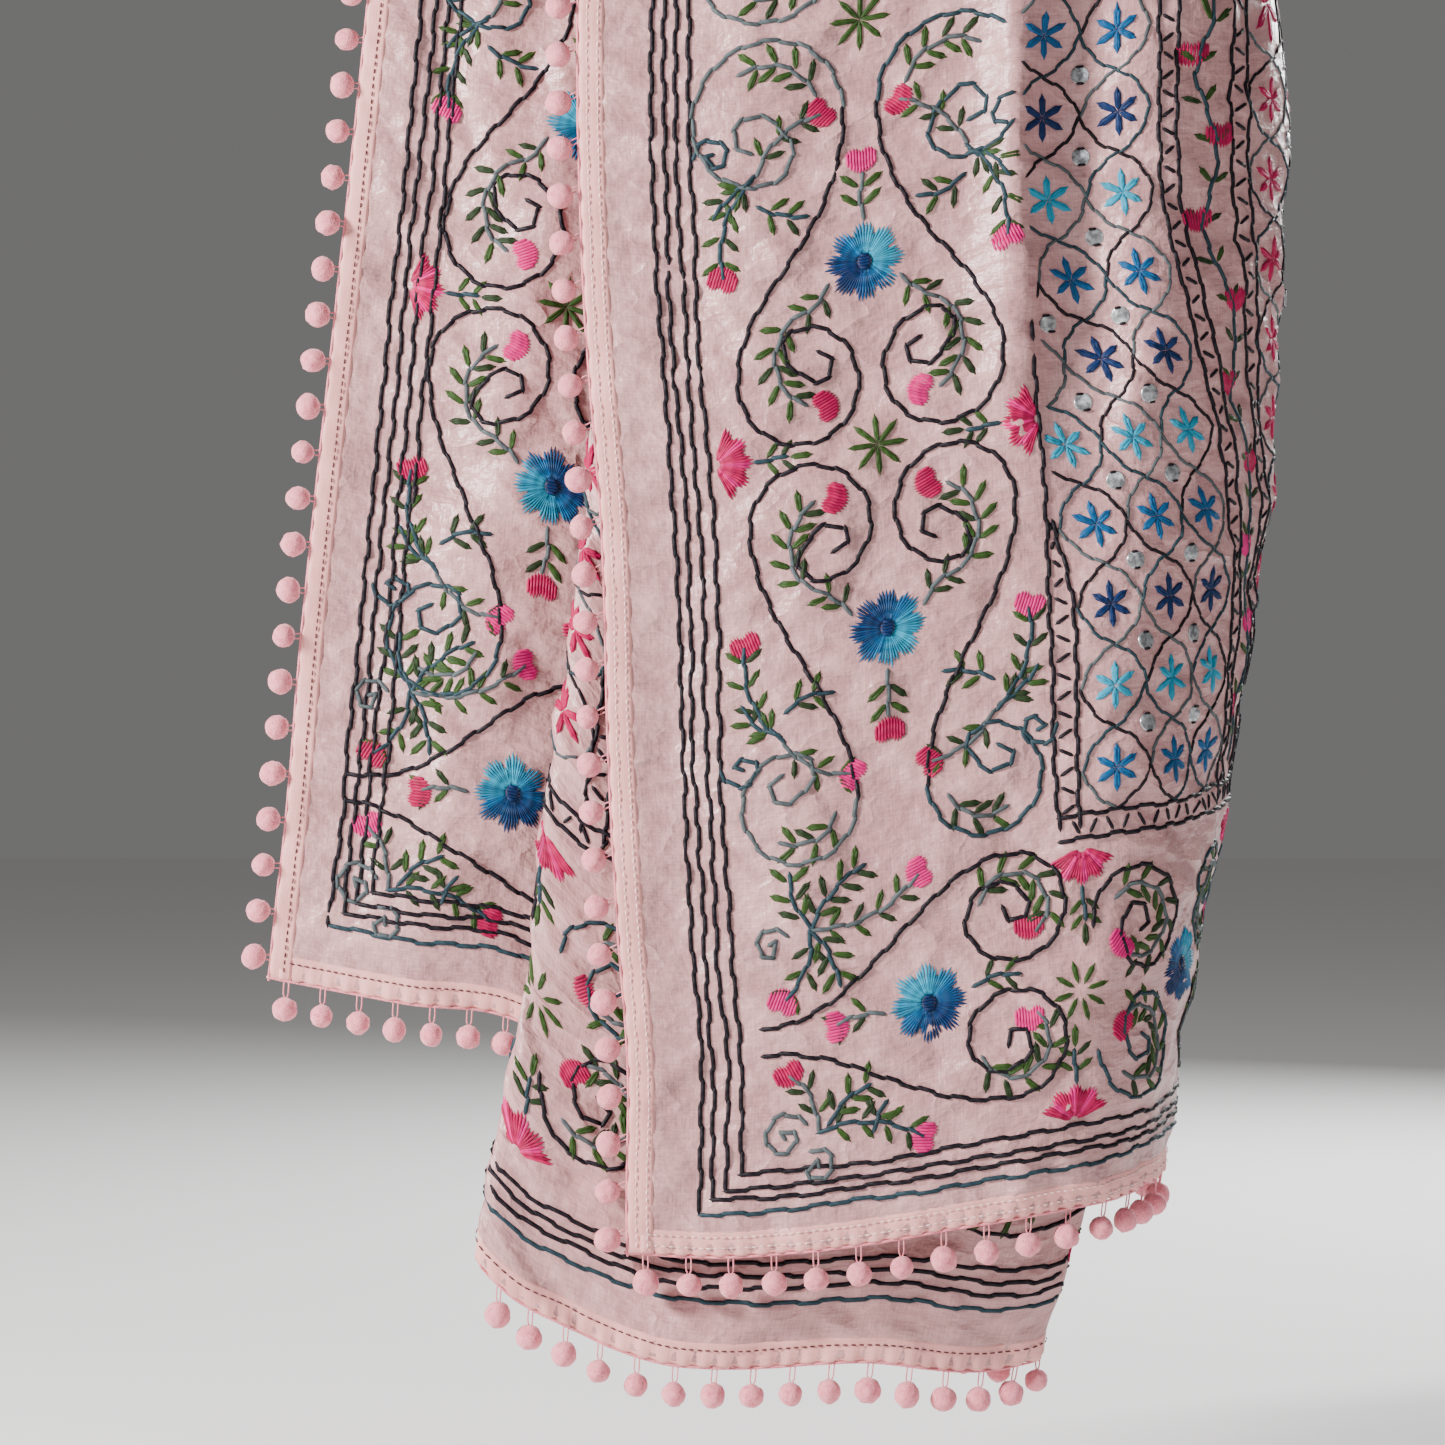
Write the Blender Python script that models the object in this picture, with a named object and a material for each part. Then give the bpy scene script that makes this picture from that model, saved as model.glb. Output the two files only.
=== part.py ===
"""A phulkari shawl in the form that it has when it lies over two shoulders.

Metres, +Z up, the front faces -Y, and the origin is between the shoulders where the cloth is held.
The cloth is one rectangle. "across" runs over its width from the neck edge (0) to the outer edge,
and "up" is the height above the hem in each front fall. The right fall is the one at +X.
"""

import bmesh
import bpy
import numpy as np

# Driving dimensions of the cut
CLOTH_WIDTH = 0.90
WALL = 0.002
SEAM_GAP = 0.0006
PLY_GAP = 0.0026
TAPE_WIDTH = 0.015
LACE_WIDTH = 0.004
TRIM_WIDTH = TAPE_WIDTH + LACE_WIDTH

# Heights above the hem up to which each fall hangs straight, at the neck edge and the outer edge
RIGHT_FALL_LENGTHS = (0.85, 0.70)
LEFT_FALL_LENGTHS = (0.68, 0.68)

# Places across the left fall where its plies turn, and where the outer ply's piece begins
PLY_TURN = 0.20
PLY_FRONT_FOLD = 0.57
PLY_BACK_FOLD = 0.65
PLY_SPLIT = 0.61

# Where the right fall's front piece ends and its side piece begins
SIDE_SPLIT = 0.44

# Pompoms
POMPOM_RADIUS = 0.0088
POMPOM_OUT = 0.0105
POMPOM_DROP = 0.006
POMPOM_ROOT = 0.0032
LOOP_HALF_WIDTH = 0.0011
LOOP_END = 0.92
POMPOM_CROWDING = 2.45
STEEP_EDGE = 0.62
STRIP_CLEARANCE = 1.40
ROOT_REACH = 0.016
POMPOM_STAGES = (
    # place along the way out and half width, both in radii
    (0.00, 0.86),
    (0.88, 0.42),
)

# Rows of the meshes: how many steps each stretch has along the cloth
RIGHT_FALL_STEPS = 13
SHOULDER_STEPS = 21
LEFT_FALL_STEPS = 11

# Steps of the shoulder stretch at which its right, back and left pieces meet
RIGHT_TOP_STEP = 7
LEFT_TOP_STEP = 13

# Short steps over which the direction of a section and of a fall is measured
PLAN_STEP = 0.004
ROUTE_STEP = 0.04

# Each row is a level section of the right fall: its height, the x of the free front edge,
# the x of the outermost side, and the y of the front and of the back.
RIGHT_SECTIONS = (
    # height, edge_x, side_x, front_y, back_y
    (-1.36, -0.047, 0.296, -0.180, 0.070),
    (-1.24, -0.051, 0.312, -0.180, 0.085),
    (-1.15, -0.050, 0.328, -0.181, 0.100),
    (-1.05, -0.057, 0.345, -0.182, 0.112),
    (-0.94, -0.063, 0.362, -0.182, 0.122),
    (-0.80, -0.067, 0.377, -0.181, 0.130),
    (-0.64, -0.079, 0.389, -0.180, 0.134),
    (-0.42, -0.083, 0.397, -0.178, 0.136),
    (-0.20, -0.070, 0.380, -0.170, 0.136),
)
SIDE_TURN_DEPTH = 0.115
FRONT_BOW = 0.010

# The right fall's hem: its height at places across the cloth
RIGHT_HEM = (
    # across, height
    (0.00, -1.270),
    (0.05, -1.273),
    (0.15, -1.265),
    (0.24, -1.250),
    (0.31, -1.240),
    (0.38, -1.232),
    (0.60, -1.205),
    (0.90, -1.165),
)

# Each row is a level section of the left fall, from its outer free edge: the x of that edge, of the
# ply's front fold, of the turn behind the right fall and of the neck edge.
LEFT_SECTIONS = (
    # height, edge_x, front_fold_x, turn_x, neck_x
    (-1.40, -0.318, -0.162, 0.225, 0.085),
    (-1.34, -0.314, -0.160, 0.236, 0.090),
    (-1.24, -0.307, -0.152, 0.268, 0.105),
    (-1.15, -0.300, -0.133, 0.274, 0.100),
    (-1.08, -0.295, -0.121, 0.274, 0.090),
    (-0.97, -0.283, -0.111, 0.272, 0.080),
    (-0.87, -0.275, -0.094, 0.268, 0.070),
    (-0.77, -0.265, -0.084, 0.262, 0.062),
    (-0.65, -0.252, -0.078, 0.240, 0.052),
    (-0.43, -0.229, -0.066, 0.170, 0.030),
    (-0.30, -0.218, -0.080, 0.110, 0.010),
)
LEFT_OUTER_Y = -0.124
LEFT_PLY_Y = -0.138
LEFT_INNER_Y = -0.152
LEFT_TURN_Y = -0.100
LEFT_NECK_Y = -0.060
PLY_ROUNDING = 0.012
PLY_LEAN = 0.006
TURN_BEFORE = 0.02
TURN_AFTER = 0.07

# The left fall's hem: its height at places across the cloth
LEFT_HEM = (
    # across, height
    (0.00, -1.315),
    (0.12, -1.335),
    (0.19, -1.345),
    (0.22, -1.353),
    (0.32, -1.346),
    (0.405, -1.349),
    (0.446, -1.345),
    (0.477, -1.335),
    (0.508, -1.320),
    (0.539, -1.303),
    (0.565, -1.278),
    (0.610, -1.226),
    (0.655, -1.172),
    (0.700, -1.132),
    (0.73, -1.118),
    (0.80, -1.108),
    (0.90, -1.090),
)

# Each row is a section of the cloth over the shoulders and round the neck, from the right side to
# the left front, as five points evenly spaced across it.
SHOULDER_SECTIONS = (
    # name, neck edge, near, middle, far, outer edge
    ("right side", (-0.030, -0.152, -0.250), (0.145, -0.150, -0.215), (0.285, -0.090, -0.195),
     (0.312, 0.070, -0.245), (0.160, 0.144, -0.455)),
    ("right front", (0.040, -0.082, -0.080), (0.142, -0.082, -0.062), (0.222, -0.028, -0.072),
     (0.244, 0.078, -0.190), (0.132, 0.150, -0.462)),
    ("right shoulder", (0.072, -0.006, 0.032), (0.132, 0.016, 0.010), (0.178, 0.054, -0.042),
     (0.186, 0.110, -0.195), (0.095, 0.154, -0.468)),
    ("right back", (0.055, 0.052, 0.036), (0.088, 0.086, -0.012), (0.108, 0.112, -0.105),
     (0.104, 0.140, -0.275), (0.045, 0.158, -0.470)),
    ("nape", (0.000, 0.072, 0.034), (0.002, 0.103, -0.022), (0.002, 0.127, -0.120),
     (-0.006, 0.149, -0.280), (-0.022, 0.158, -0.450)),
    ("left back", (-0.052, 0.054, 0.036), (-0.072, 0.083, 0.000), (-0.092, 0.104, -0.070),
     (-0.109, 0.124, -0.175), (-0.122, 0.134, -0.300)),
    ("left shoulder", (-0.070, -0.002, 0.030), (-0.101, 0.000, 0.022), (-0.133, 0.002, 0.011),
     (-0.164, 0.003, -0.002), (-0.194, 0.003, -0.020)),
    ("left front", (-0.052, -0.076, -0.075), (-0.090, -0.082, -0.072), (-0.129, -0.086, -0.080),
     (-0.168, -0.082, -0.088), (-0.204, -0.068, -0.105)),
    ("left lower front", (0.012, -0.088, -0.350), (0.078, -0.138, -0.350), (-0.028, -0.150, -0.330),
     (-0.110, -0.112, -0.270), (-0.218, -0.104, -0.255)),
)

# Soft folds that stand out of the cloth: where they are, how wide and high, and how far they reach.
# Height is outwards, and a trough is below 0. "lean" moves the fold across per metre up. Each one
# fades out over FOLD_FADE at its ends.
FOLD_FADE = 0.18
RIGHT_FOLDS = (
    # across, width, height, bottom, top, lean
    (0.245, 0.020, 0.016, 0.46, 0.98, 0.065),
    (0.305, 0.030, -0.010, 0.40, 0.95, 0.050),
    (0.140, 0.045, 0.007, 0.10, 0.90, -0.02),
    (0.330, 0.050, 0.008, -0.10, 0.45, 0.06),
    (0.045, 0.022, -0.005, -0.10, 0.55, 0.01),
    (0.550, 0.045, 0.012, -0.10, 0.85, 0.03),
    (0.660, 0.040, -0.012, -0.10, 0.85, 0.03),
    (0.770, 0.045, 0.012, -0.10, 0.80, 0.02),
)
LEFT_FOLDS = (
    # across, width, height, bottom, top, lean
    (0.790, 0.032, 0.008, -0.10, 0.70, -0.04),
    (0.715, 0.030, -0.006, 0.00, 0.70, -0.04),
    (0.860, 0.020, -0.004, 0.05, 0.60, 0.00),
    (0.430, 0.050, 0.006, -0.10, 0.50, 0.02),
    (0.300, 0.040, -0.006, -0.10, 0.55, 0.02),
)

# Gathers over the shoulders: waves across the whole width, and their height at places along
GATHER_WAVES = 5
GATHER_MARGIN = 0.08
GATHER_HEIGHTS = (
    # along the shoulder stretch from 0 to 1, height
    (0.00, 0.000),
    (0.20, 0.003),
    (0.40, 0.006),
    (0.55, 0.006),
    (0.72, 0.004),
    (0.85, 0.004),
    (1.00, 0.000),
)

# Places across the cloth where the meshes have their columns, closer at the ply's folds
CLOTH_COLUMNS = (
    0.052, 0.085, 0.120, 0.155, 0.180, 0.200, 0.220, 0.245, 0.275, 0.310, 0.350, 0.395, 0.440,
    0.485, 0.525, 0.550, 0.563, 0.570, 0.577, 0.590, 0.610, 0.630, 0.643, 0.650, 0.657, 0.670,
    0.700, 0.735, 0.775, 0.815, 0.850,
)

# How far apart the pompoms are along each edge
SPACING = {
    "right_front": 0.0317,
    "right_rear": 0.0390,
    "neck": 0.0440,
    "back": 0.0400,
    "left_front": 0.0305,
    "left_neck": 0.0440,
    "right_hem": 0.0290,
    "left_inner_hem": 0.0262,
    "left_outer_hem": 0.0250,
}

# Edges sharper than this angle, in radians, are shaded sharp
SHARP_ANGLE = 0.9

# Colours, roughness and metallic value
FINISHES = {
    "cloth": ((0.72, 0.48, 0.45, 1.0), 0.45, 0.0),
    "tape": ((0.85, 0.55, 0.52, 1.0), 0.50, 0.0),
    "pompom": ((0.90, 0.42, 0.46, 1.0), 0.95, 0.0),
}


def column(table, number):
    """One column of a table, as an array."""
    return np.array([row[number] for row in table], float)


def eased(table, number, at):
    """A table's column read at a value of its first column, on a smooth curve through the rows."""
    keys, values = column(table, 0), column(table, number)
    slopes = np.gradient(values, keys)
    at = np.clip(at, keys.min(), keys.max())
    low = int(np.clip(np.searchsorted(keys, at) - 1, 0, len(keys) - 2))
    span = keys[low + 1] - keys[low]
    part = (at - keys[low]) / span
    rise = part * part * (3 - 2 * part)
    start = part * (1 - part) ** 2 * span * slopes[low]
    end = part * part * (1 - part) * span * slopes[low + 1]
    return float(values[low] * (1 - rise) + values[low + 1] * rise + start - end)


def rounded(places, values, at, reach):
    """A line through the given values, with its corners rounded over a reach on each side."""
    window = at + reach * np.linspace(-1, 1, 9)
    order = np.argsort(places)
    return float(np.mean(np.interp(window, np.array(places)[order], np.array(values)[order])))


def faded(value, low, high, soft):
    """1 between low and high, and 0 beyond them, with a soft step at each."""
    rise = np.clip((value - low) / soft, 0, 1)
    fall = np.clip((high - value) / soft, 0, 1)
    return float(rise * rise * (3 - 2 * rise) * fall * fall * (3 - 2 * fall))


def fold_height(folds, across, up):
    """How far the folds of a fall lift the cloth at a place."""
    total = 0.0
    for centre, width, height, bottom, top, lean in folds:
        distance = (across - centre - lean * up) / width
        total += height * np.exp(-distance * distance) * faded(up, bottom, top, FOLD_FADE)
    return float(total)


def right_plan(across, height):
    """The right fall in plan: along the front, round the side and along the back."""
    edge, side, front, back = (eased(RIGHT_SECTIONS, n, height) for n in (1, 2, 3, 4))
    half_depth = (back - front) / 2
    straight = side - SIDE_TURN_DEPTH - edge
    turn = np.pi * np.sqrt((SIDE_TURN_DEPTH**2 + half_depth**2) / 2)
    if across < straight:
        ease = across / straight
        return edge + across, front + FRONT_BOW * (1 - ease) ** 2
    if across < straight + turn:
        angle = np.pi * (across - straight) / turn
        return side - SIDE_TURN_DEPTH + SIDE_TURN_DEPTH * np.sin(angle), front + half_depth * (
            1 - np.cos(angle)
        )
    return side - SIDE_TURN_DEPTH - (across - straight - turn), back


def left_plan(across, height):
    """The left fall in plan: the inner ply in front, the outer ply behind it and out to the free edge."""
    edge, fold, turn, neck = (eased(LEFT_SECTIONS, n, height) for n in (1, 2, 3, 4))
    hidden = CLOTH_WIDTH - PLY_FRONT_FOLD
    back_fold = edge + (fold - edge + hidden) / 2
    places = (0, PLY_TURN, PLY_FRONT_FOLD, PLY_BACK_FOLD, CLOTH_WIDTH)
    x = rounded(places, (neck, turn, fold, back_fold, edge), across, PLY_ROUNDING)
    depth_places = (
        0,
        PLY_TURN - TURN_BEFORE,
        PLY_TURN + TURN_AFTER,
        PLY_FRONT_FOLD - PLY_ROUNDING,
        PLY_FRONT_FOLD + PLY_ROUNDING,
        PLY_BACK_FOLD - PLY_ROUNDING,
        PLY_BACK_FOLD + PLY_ROUNDING,
        CLOTH_WIDTH,
    )
    depths = (
        LEFT_NECK_Y,
        LEFT_TURN_Y,
        LEFT_INNER_Y + PLY_LEAN,
        LEFT_INNER_Y,
        LEFT_PLY_Y,
        LEFT_PLY_Y,
        LEFT_OUTER_Y,
        LEFT_OUTER_Y + PLY_LEAN,
    )
    return x, rounded(depth_places, depths, across, PLY_ROUNDING)


def right_point(across, up):
    """A point of the right fall, with its folds."""
    height = eased(RIGHT_HEM, 1, across) + up
    x, y = right_plan(across, height)
    before = right_plan(across - PLAN_STEP, height)
    after = right_plan(across + PLAN_STEP, height)
    along = np.array([after[0] - before[0], after[1] - before[1]])
    outwards = np.array([along[1], -along[0]]) / np.hypot(*along)
    lift = fold_height(RIGHT_FOLDS, across, up)
    return np.array([x + outwards[0] * lift, y + outwards[1] * lift, height])


def left_point(across, up):
    """A point of the left fall, with its folds, which lift each ply towards its own outer side."""
    height = eased(LEFT_HEM, 1, across) + up
    x, y = left_plan(across, height)
    layer = 1 if across < PLY_TURN or PLY_FRONT_FOLD < across < PLY_BACK_FOLD else -1
    lift = fold_height(LEFT_FOLDS, across, up)
    return np.array([x, y + layer * lift, height])


def section_point(section, across):
    """A point of a shoulder section, on a smooth curve through its five points."""
    rows = [(CLOTH_WIDTH * n / 4, *point) for n, point in enumerate(section[1:])]
    return np.array([eased(rows, n, across) for n in (1, 2, 3)])


def fall_length(lengths, across):
    """How long a fall hangs straight at a place across the cloth."""
    return float(np.interp(across, (0, CLOTH_WIDTH), lengths))


def beyond(end, below, neighbour):
    """A point past the end of a route, which makes the curve leave the end as the fall hangs."""
    way = (end - below) / np.linalg.norm(end - below)
    return neighbour - 2 * np.linalg.norm(neighbour - end) * way


def shoulder_route(across):
    """The points that a thread of the cloth passes from the right fall to the left one."""
    right_top = fall_length(RIGHT_FALL_LENGTHS, across)
    left_top = fall_length(LEFT_FALL_LENGTHS, across)
    right, left = right_point(across, right_top), left_point(across, left_top)
    over = [section_point(section, across) for section in SHOULDER_SECTIONS]
    first = beyond(right, right_point(across, right_top - ROUTE_STEP), over[0])
    last = beyond(left, left_point(across, left_top - ROUTE_STEP), over[-1])
    return np.array([first, right, *over, left, last])


def shoulder_rows(across, count):
    """Rows of points over the shoulders, spaced by the mean length of the threads between sections."""
    routes = np.stack([shoulder_route(place) for place in across], axis=1)
    spans = np.linalg.norm(np.diff(routes[1:-1], axis=0), axis=2).mean(axis=1)
    lengths = np.concatenate([[0], np.cumsum(spans)])
    rows = []
    for wanted in np.linspace(0, lengths[-1], count + 1):
        k = int(np.clip(np.searchsorted(lengths, wanted) - 1, 0, len(spans) - 1))
        part = (wanted - lengths[k]) / spans[k]
        a, b, c, d = routes[k : k + 4]
        bend = 2 * b + part * (c - a) + part**2 * (2 * a - 5 * b + 4 * c - d)
        rows.append((bend + part**3 * (3 * b - a - 3 * c + d)) / 2)
    return np.array(rows)


def grid_normals(points):
    """Unit normals of a grid of points, which face outwards."""
    along = np.gradient(points, axis=0)
    across = np.gradient(points, axis=1)
    normals = np.cross(across, along)
    return normals / np.maximum(np.linalg.norm(normals, axis=2, keepdims=True), 1e-9)


def cloth_columns():
    """Places of all columns, with the trims' at both edges."""
    edge = [0.0, LACE_WIDTH, TRIM_WIDTH]
    return edge + list(CLOTH_COLUMNS) + [CLOTH_WIDTH - place for place in reversed(edge)]


def fall_column(fall, lengths, steps, across):
    """The points of one column of a fall from its hem up: the trim's rows and then even steps."""
    top = fall_length(lengths, across)
    ups = [0.0, LACE_WIDTH] + list(np.linspace(TRIM_WIDTH, top, steps + 1))
    return [fall(across, up) for up in ups]


def cloth_grid():
    """The whole surface as one grid: rows run from the right hem to the left one."""
    across = cloth_columns()
    right = np.stack([fall_column(right_point, RIGHT_FALL_LENGTHS, RIGHT_FALL_STEPS, place)
                      for place in across], axis=1)
    over = shoulder_rows(across, SHOULDER_STEPS)
    left = np.stack([fall_column(left_point, LEFT_FALL_LENGTHS, LEFT_FALL_STEPS, place)
                     for place in across], axis=1)
    points = np.concatenate([right, over[1:-1], left[::-1]])
    normals = grid_normals(points)
    edges = np.minimum(across, CLOTH_WIDTH - np.array(across)) / GATHER_MARGIN
    wave = np.sin(2 * np.pi * GATHER_WAVES * np.array(across) / CLOTH_WIDTH) * np.minimum(edges, 1)
    for n in range(1, SHOULDER_STEPS):
        row = len(right) + n - 1
        height = eased(GATHER_HEIGHTS, 1, n / SHOULDER_STEPS)
        points[row] += normals[row] * (height * wave)[:, None]
    return points, grid_normals(points), len(right), len(left)


def shrunk(points, places, side_rows, side_columns):
    """The grid with half a seam's gap taken off at the named sides. It is wider at the ply's folds."""
    points = points.copy()
    near = [min(abs(place - PLY_FRONT_FOLD), abs(place - PLY_BACK_FOLD)) for place in places]
    row_gaps = np.where(np.array(near) < PLY_ROUNDING * 2, PLY_GAP, SEAM_GAP)[:, None]
    for first, axis, wanted in (
        (0, 0, "low" in side_rows),
        (-1, 0, "high" in side_rows),
        (0, 1, "low" in side_columns),
        (-1, 1, "high" in side_columns),
    ):
        if not wanted:
            continue
        rim = np.take(points, first, axis=axis)
        inner = np.take(points, 1 if first == 0 else -2, axis=axis)
        run = np.gradient(rim, axis=0)
        run = run / np.linalg.norm(run, axis=1, keepdims=True)
        way = inner - rim
        way = way - run * (way * run).sum(axis=1, keepdims=True)
        gaps = row_gaps if axis == 0 else SEAM_GAP
        moved = rim + way / np.linalg.norm(way, axis=1, keepdims=True) * gaps / 2
        if axis == 0:
            points[first] = moved
        else:
            points[:, first] = moved
    return points


def wall_faces(rows, columns, skipped=()):
    """Faces of a closed wall: two skins and the rim round them, but for the rim faces skipped."""
    count = rows * columns

    def outer(i, j):
        return i * columns + j

    faces = []
    for i in range(rows - 1):
        for j in range(columns - 1):
            a, b, c, d = outer(i, j), outer(i, j + 1), outer(i + 1, j + 1), outer(i + 1, j)
            for corners in ((a, b, c), (a, c, d)):
                faces.append(corners)
                faces.append(tuple(count + v for v in reversed(corners)))
    rim = [outer(0, j) for j in range(columns)]
    rim += [outer(i, columns - 1) for i in range(1, rows)]
    rim += [outer(rows - 1, j) for j in range(columns - 2, -1, -1)]
    rim += [outer(i, 0) for i in range(rows - 2, 0, -1)]
    for a, b in zip(rim, rim[1:] + rim[:1]):
        if (a, b) not in skipped:
            faces.append((b, a, count + a, count + b))
    return faces


def material(name):
    """A plain finish of the given name."""
    colour, roughness, metallic = FINISHES[name]
    made = bpy.data.materials.get(name) or bpy.data.materials.new(name)
    made.use_nodes = True
    shader = made.node_tree.nodes["Principled BSDF"]
    shader.inputs["Base Color"].default_value = colour
    shader.inputs["Roughness"].default_value = roughness
    shader.inputs["Metallic"].default_value = metallic
    made.diffuse_color = colour
    return made


def add_solid(name, vertices, faces, finish):
    """A named object made of one closed mesh."""
    mesh = bpy.data.meshes.new(name)
    mesh.from_pydata([tuple(v) for v in vertices], [], faces)
    turned = bmesh.new()
    turned.from_mesh(mesh)
    bmesh.ops.recalc_face_normals(turned, faces=turned.faces)
    turned.to_mesh(mesh)
    turned.free()
    mesh.materials.append(material(finish))
    mesh.shade_smooth()
    mesh.set_sharp_from_angle(angle=SHARP_ANGLE)
    solid = bpy.data.objects.new(name, mesh)
    bpy.context.scene.collection.objects.link(solid)
    return solid


def add_wall(name, points, normals, finish):
    """A wall of cloth or tape round a grid of points."""
    rows, columns = points.shape[:2]
    outer = (points + normals * WALL / 2).reshape(-1, 3)
    inner = (points - normals * WALL / 2).reshape(-1, 3)
    return add_solid(name, np.concatenate([outer, inner]), wall_faces(rows, columns), finish)


def along_line(rows, lengths, at):
    """Rows of points, read at lengths along a line."""
    flat = rows.reshape(len(rows), -1)
    read = [np.interp(at, lengths, flat[:, n]) for n in range(flat.shape[1])]
    return np.stack(read, axis=1).reshape(len(at), *rows.shape[1:])


def pompom_centre(rim, outwards):
    """Where a pompom hangs from a point of a strip's rim. At the neck it lies level."""
    drop = POMPOM_DROP * np.clip(1 - 2 * outwards[2], 0, 1)
    return rim + POMPOM_OUT * outwards - np.array([0, 0, drop])


def add_pompom_lace(name, strip, normals, spacing):
    """A narrow strip with pompoms on loops along its rim, which is the strip's first column."""
    steps = np.linalg.norm(np.diff(strip[:, 0], axis=0), axis=1)
    lengths = np.concatenate([[0], np.cumsum(steps)])
    count = max(int(round(lengths[-1] / spacing)), 1)
    places, centres, roots = list(lengths), [], []
    rim_places = np.arange(0, lengths[-1], ROOT_REACH / 4)
    rim_line = along_line(strip[:, 0], lengths, rim_places)
    for n in range(count):
        middle = (n + 0.5) * lengths[-1] / count
        nearest = lengths[np.argmin(abs(lengths - middle))]
        if abs(nearest - middle) < POMPOM_ROOT:
            middle = nearest + POMPOM_ROOT * (1 if middle > nearest else -1)
        (rim, inner), (ahead, _) = along_line(strip, lengths, np.array([middle, middle + 0.001]))
        outwards = (rim - inner) / np.linalg.norm(rim - inner)
        centre = pompom_centre(rim, outwards)
        steep = abs(outwards.dot(ahead - rim)) > STEEP_EDGE * np.linalg.norm(ahead - rim)
        reach = POMPOM_CROWDING * POMPOM_RADIUS
        crowded = any(np.linalg.norm(centre - other) < reach for other in centres)
        away = rim_line[abs(rim_places - middle) > ROOT_REACH]
        touching = (np.linalg.norm(away - centre, axis=1) < STRIP_CLEARANCE * POMPOM_RADIUS).any()
        if not steep and not crowded and not touching:
            centres.append(centre)
            roots.append(middle - POMPOM_ROOT / 2)
            places += [middle - POMPOM_ROOT / 2, middle + POMPOM_ROOT / 2]
    places = sorted(places)
    roots = [places.index(place) for place in roots]
    points = along_line(strip, lengths, np.array(places))
    lifts = along_line(normals, lengths, np.array(places))
    lifts = lifts / np.linalg.norm(lifts, axis=2, keepdims=True)
    rows = len(places)
    outer = (points + lifts * WALL / 2).reshape(-1, 3)
    inner = (points - lifts * WALL / 2).reshape(-1, 3)
    vertices = list(np.concatenate([outer, inner]))
    skipped = {((i + 1) * 2, i * 2) for i in roots}
    faces = wall_faces(rows, 2, skipped)
    for i, centre in zip(roots, centres):
        a, b = i * 2, (i + 1) * 2
        grow_pompom(vertices, faces, [a, b, rows * 2 + b, rows * 2 + a], centre)
    return add_solid(name, vertices, faces, "pompom")


def grow_pompom(vertices, faces, ring, centre):
    """Adds one loop and pompom of four sides to a strip, from a ring of its rim."""
    root = np.mean([vertices[v] for v in ring], axis=0)
    way = (centre - root) / np.linalg.norm(centre - root)
    along = vertices[ring[1]] - vertices[ring[0]]
    along = along - way * along.dot(way)
    along = along / np.linalg.norm(along)
    lift = np.cross(along, way)
    if lift.dot(vertices[ring[0]] - vertices[ring[3]]) < 0:
        lift = -lift
    corners = ((-1, 1), (1, 1), (1, -1), (-1, -1))
    stages = [(centre - way * POMPOM_RADIUS * LOOP_END, LOOP_HALF_WIDTH)]
    for place, half in POMPOM_STAGES:
        stages.append((centre + way * POMPOM_RADIUS * place, POMPOM_RADIUS * half))
    last = ring
    for place, half in stages:
        new = []
        for u, v in corners:
            new.append(len(vertices))
            vertices.append(place + along * half * u + lift * half * v)
        for n in range(4):
            m = (n + 1) % 4
            faces.append((last[m], last[n], new[n], new[m]))
        last = new
    faces.append((last[3], last[2], last[1], last[0]))


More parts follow.
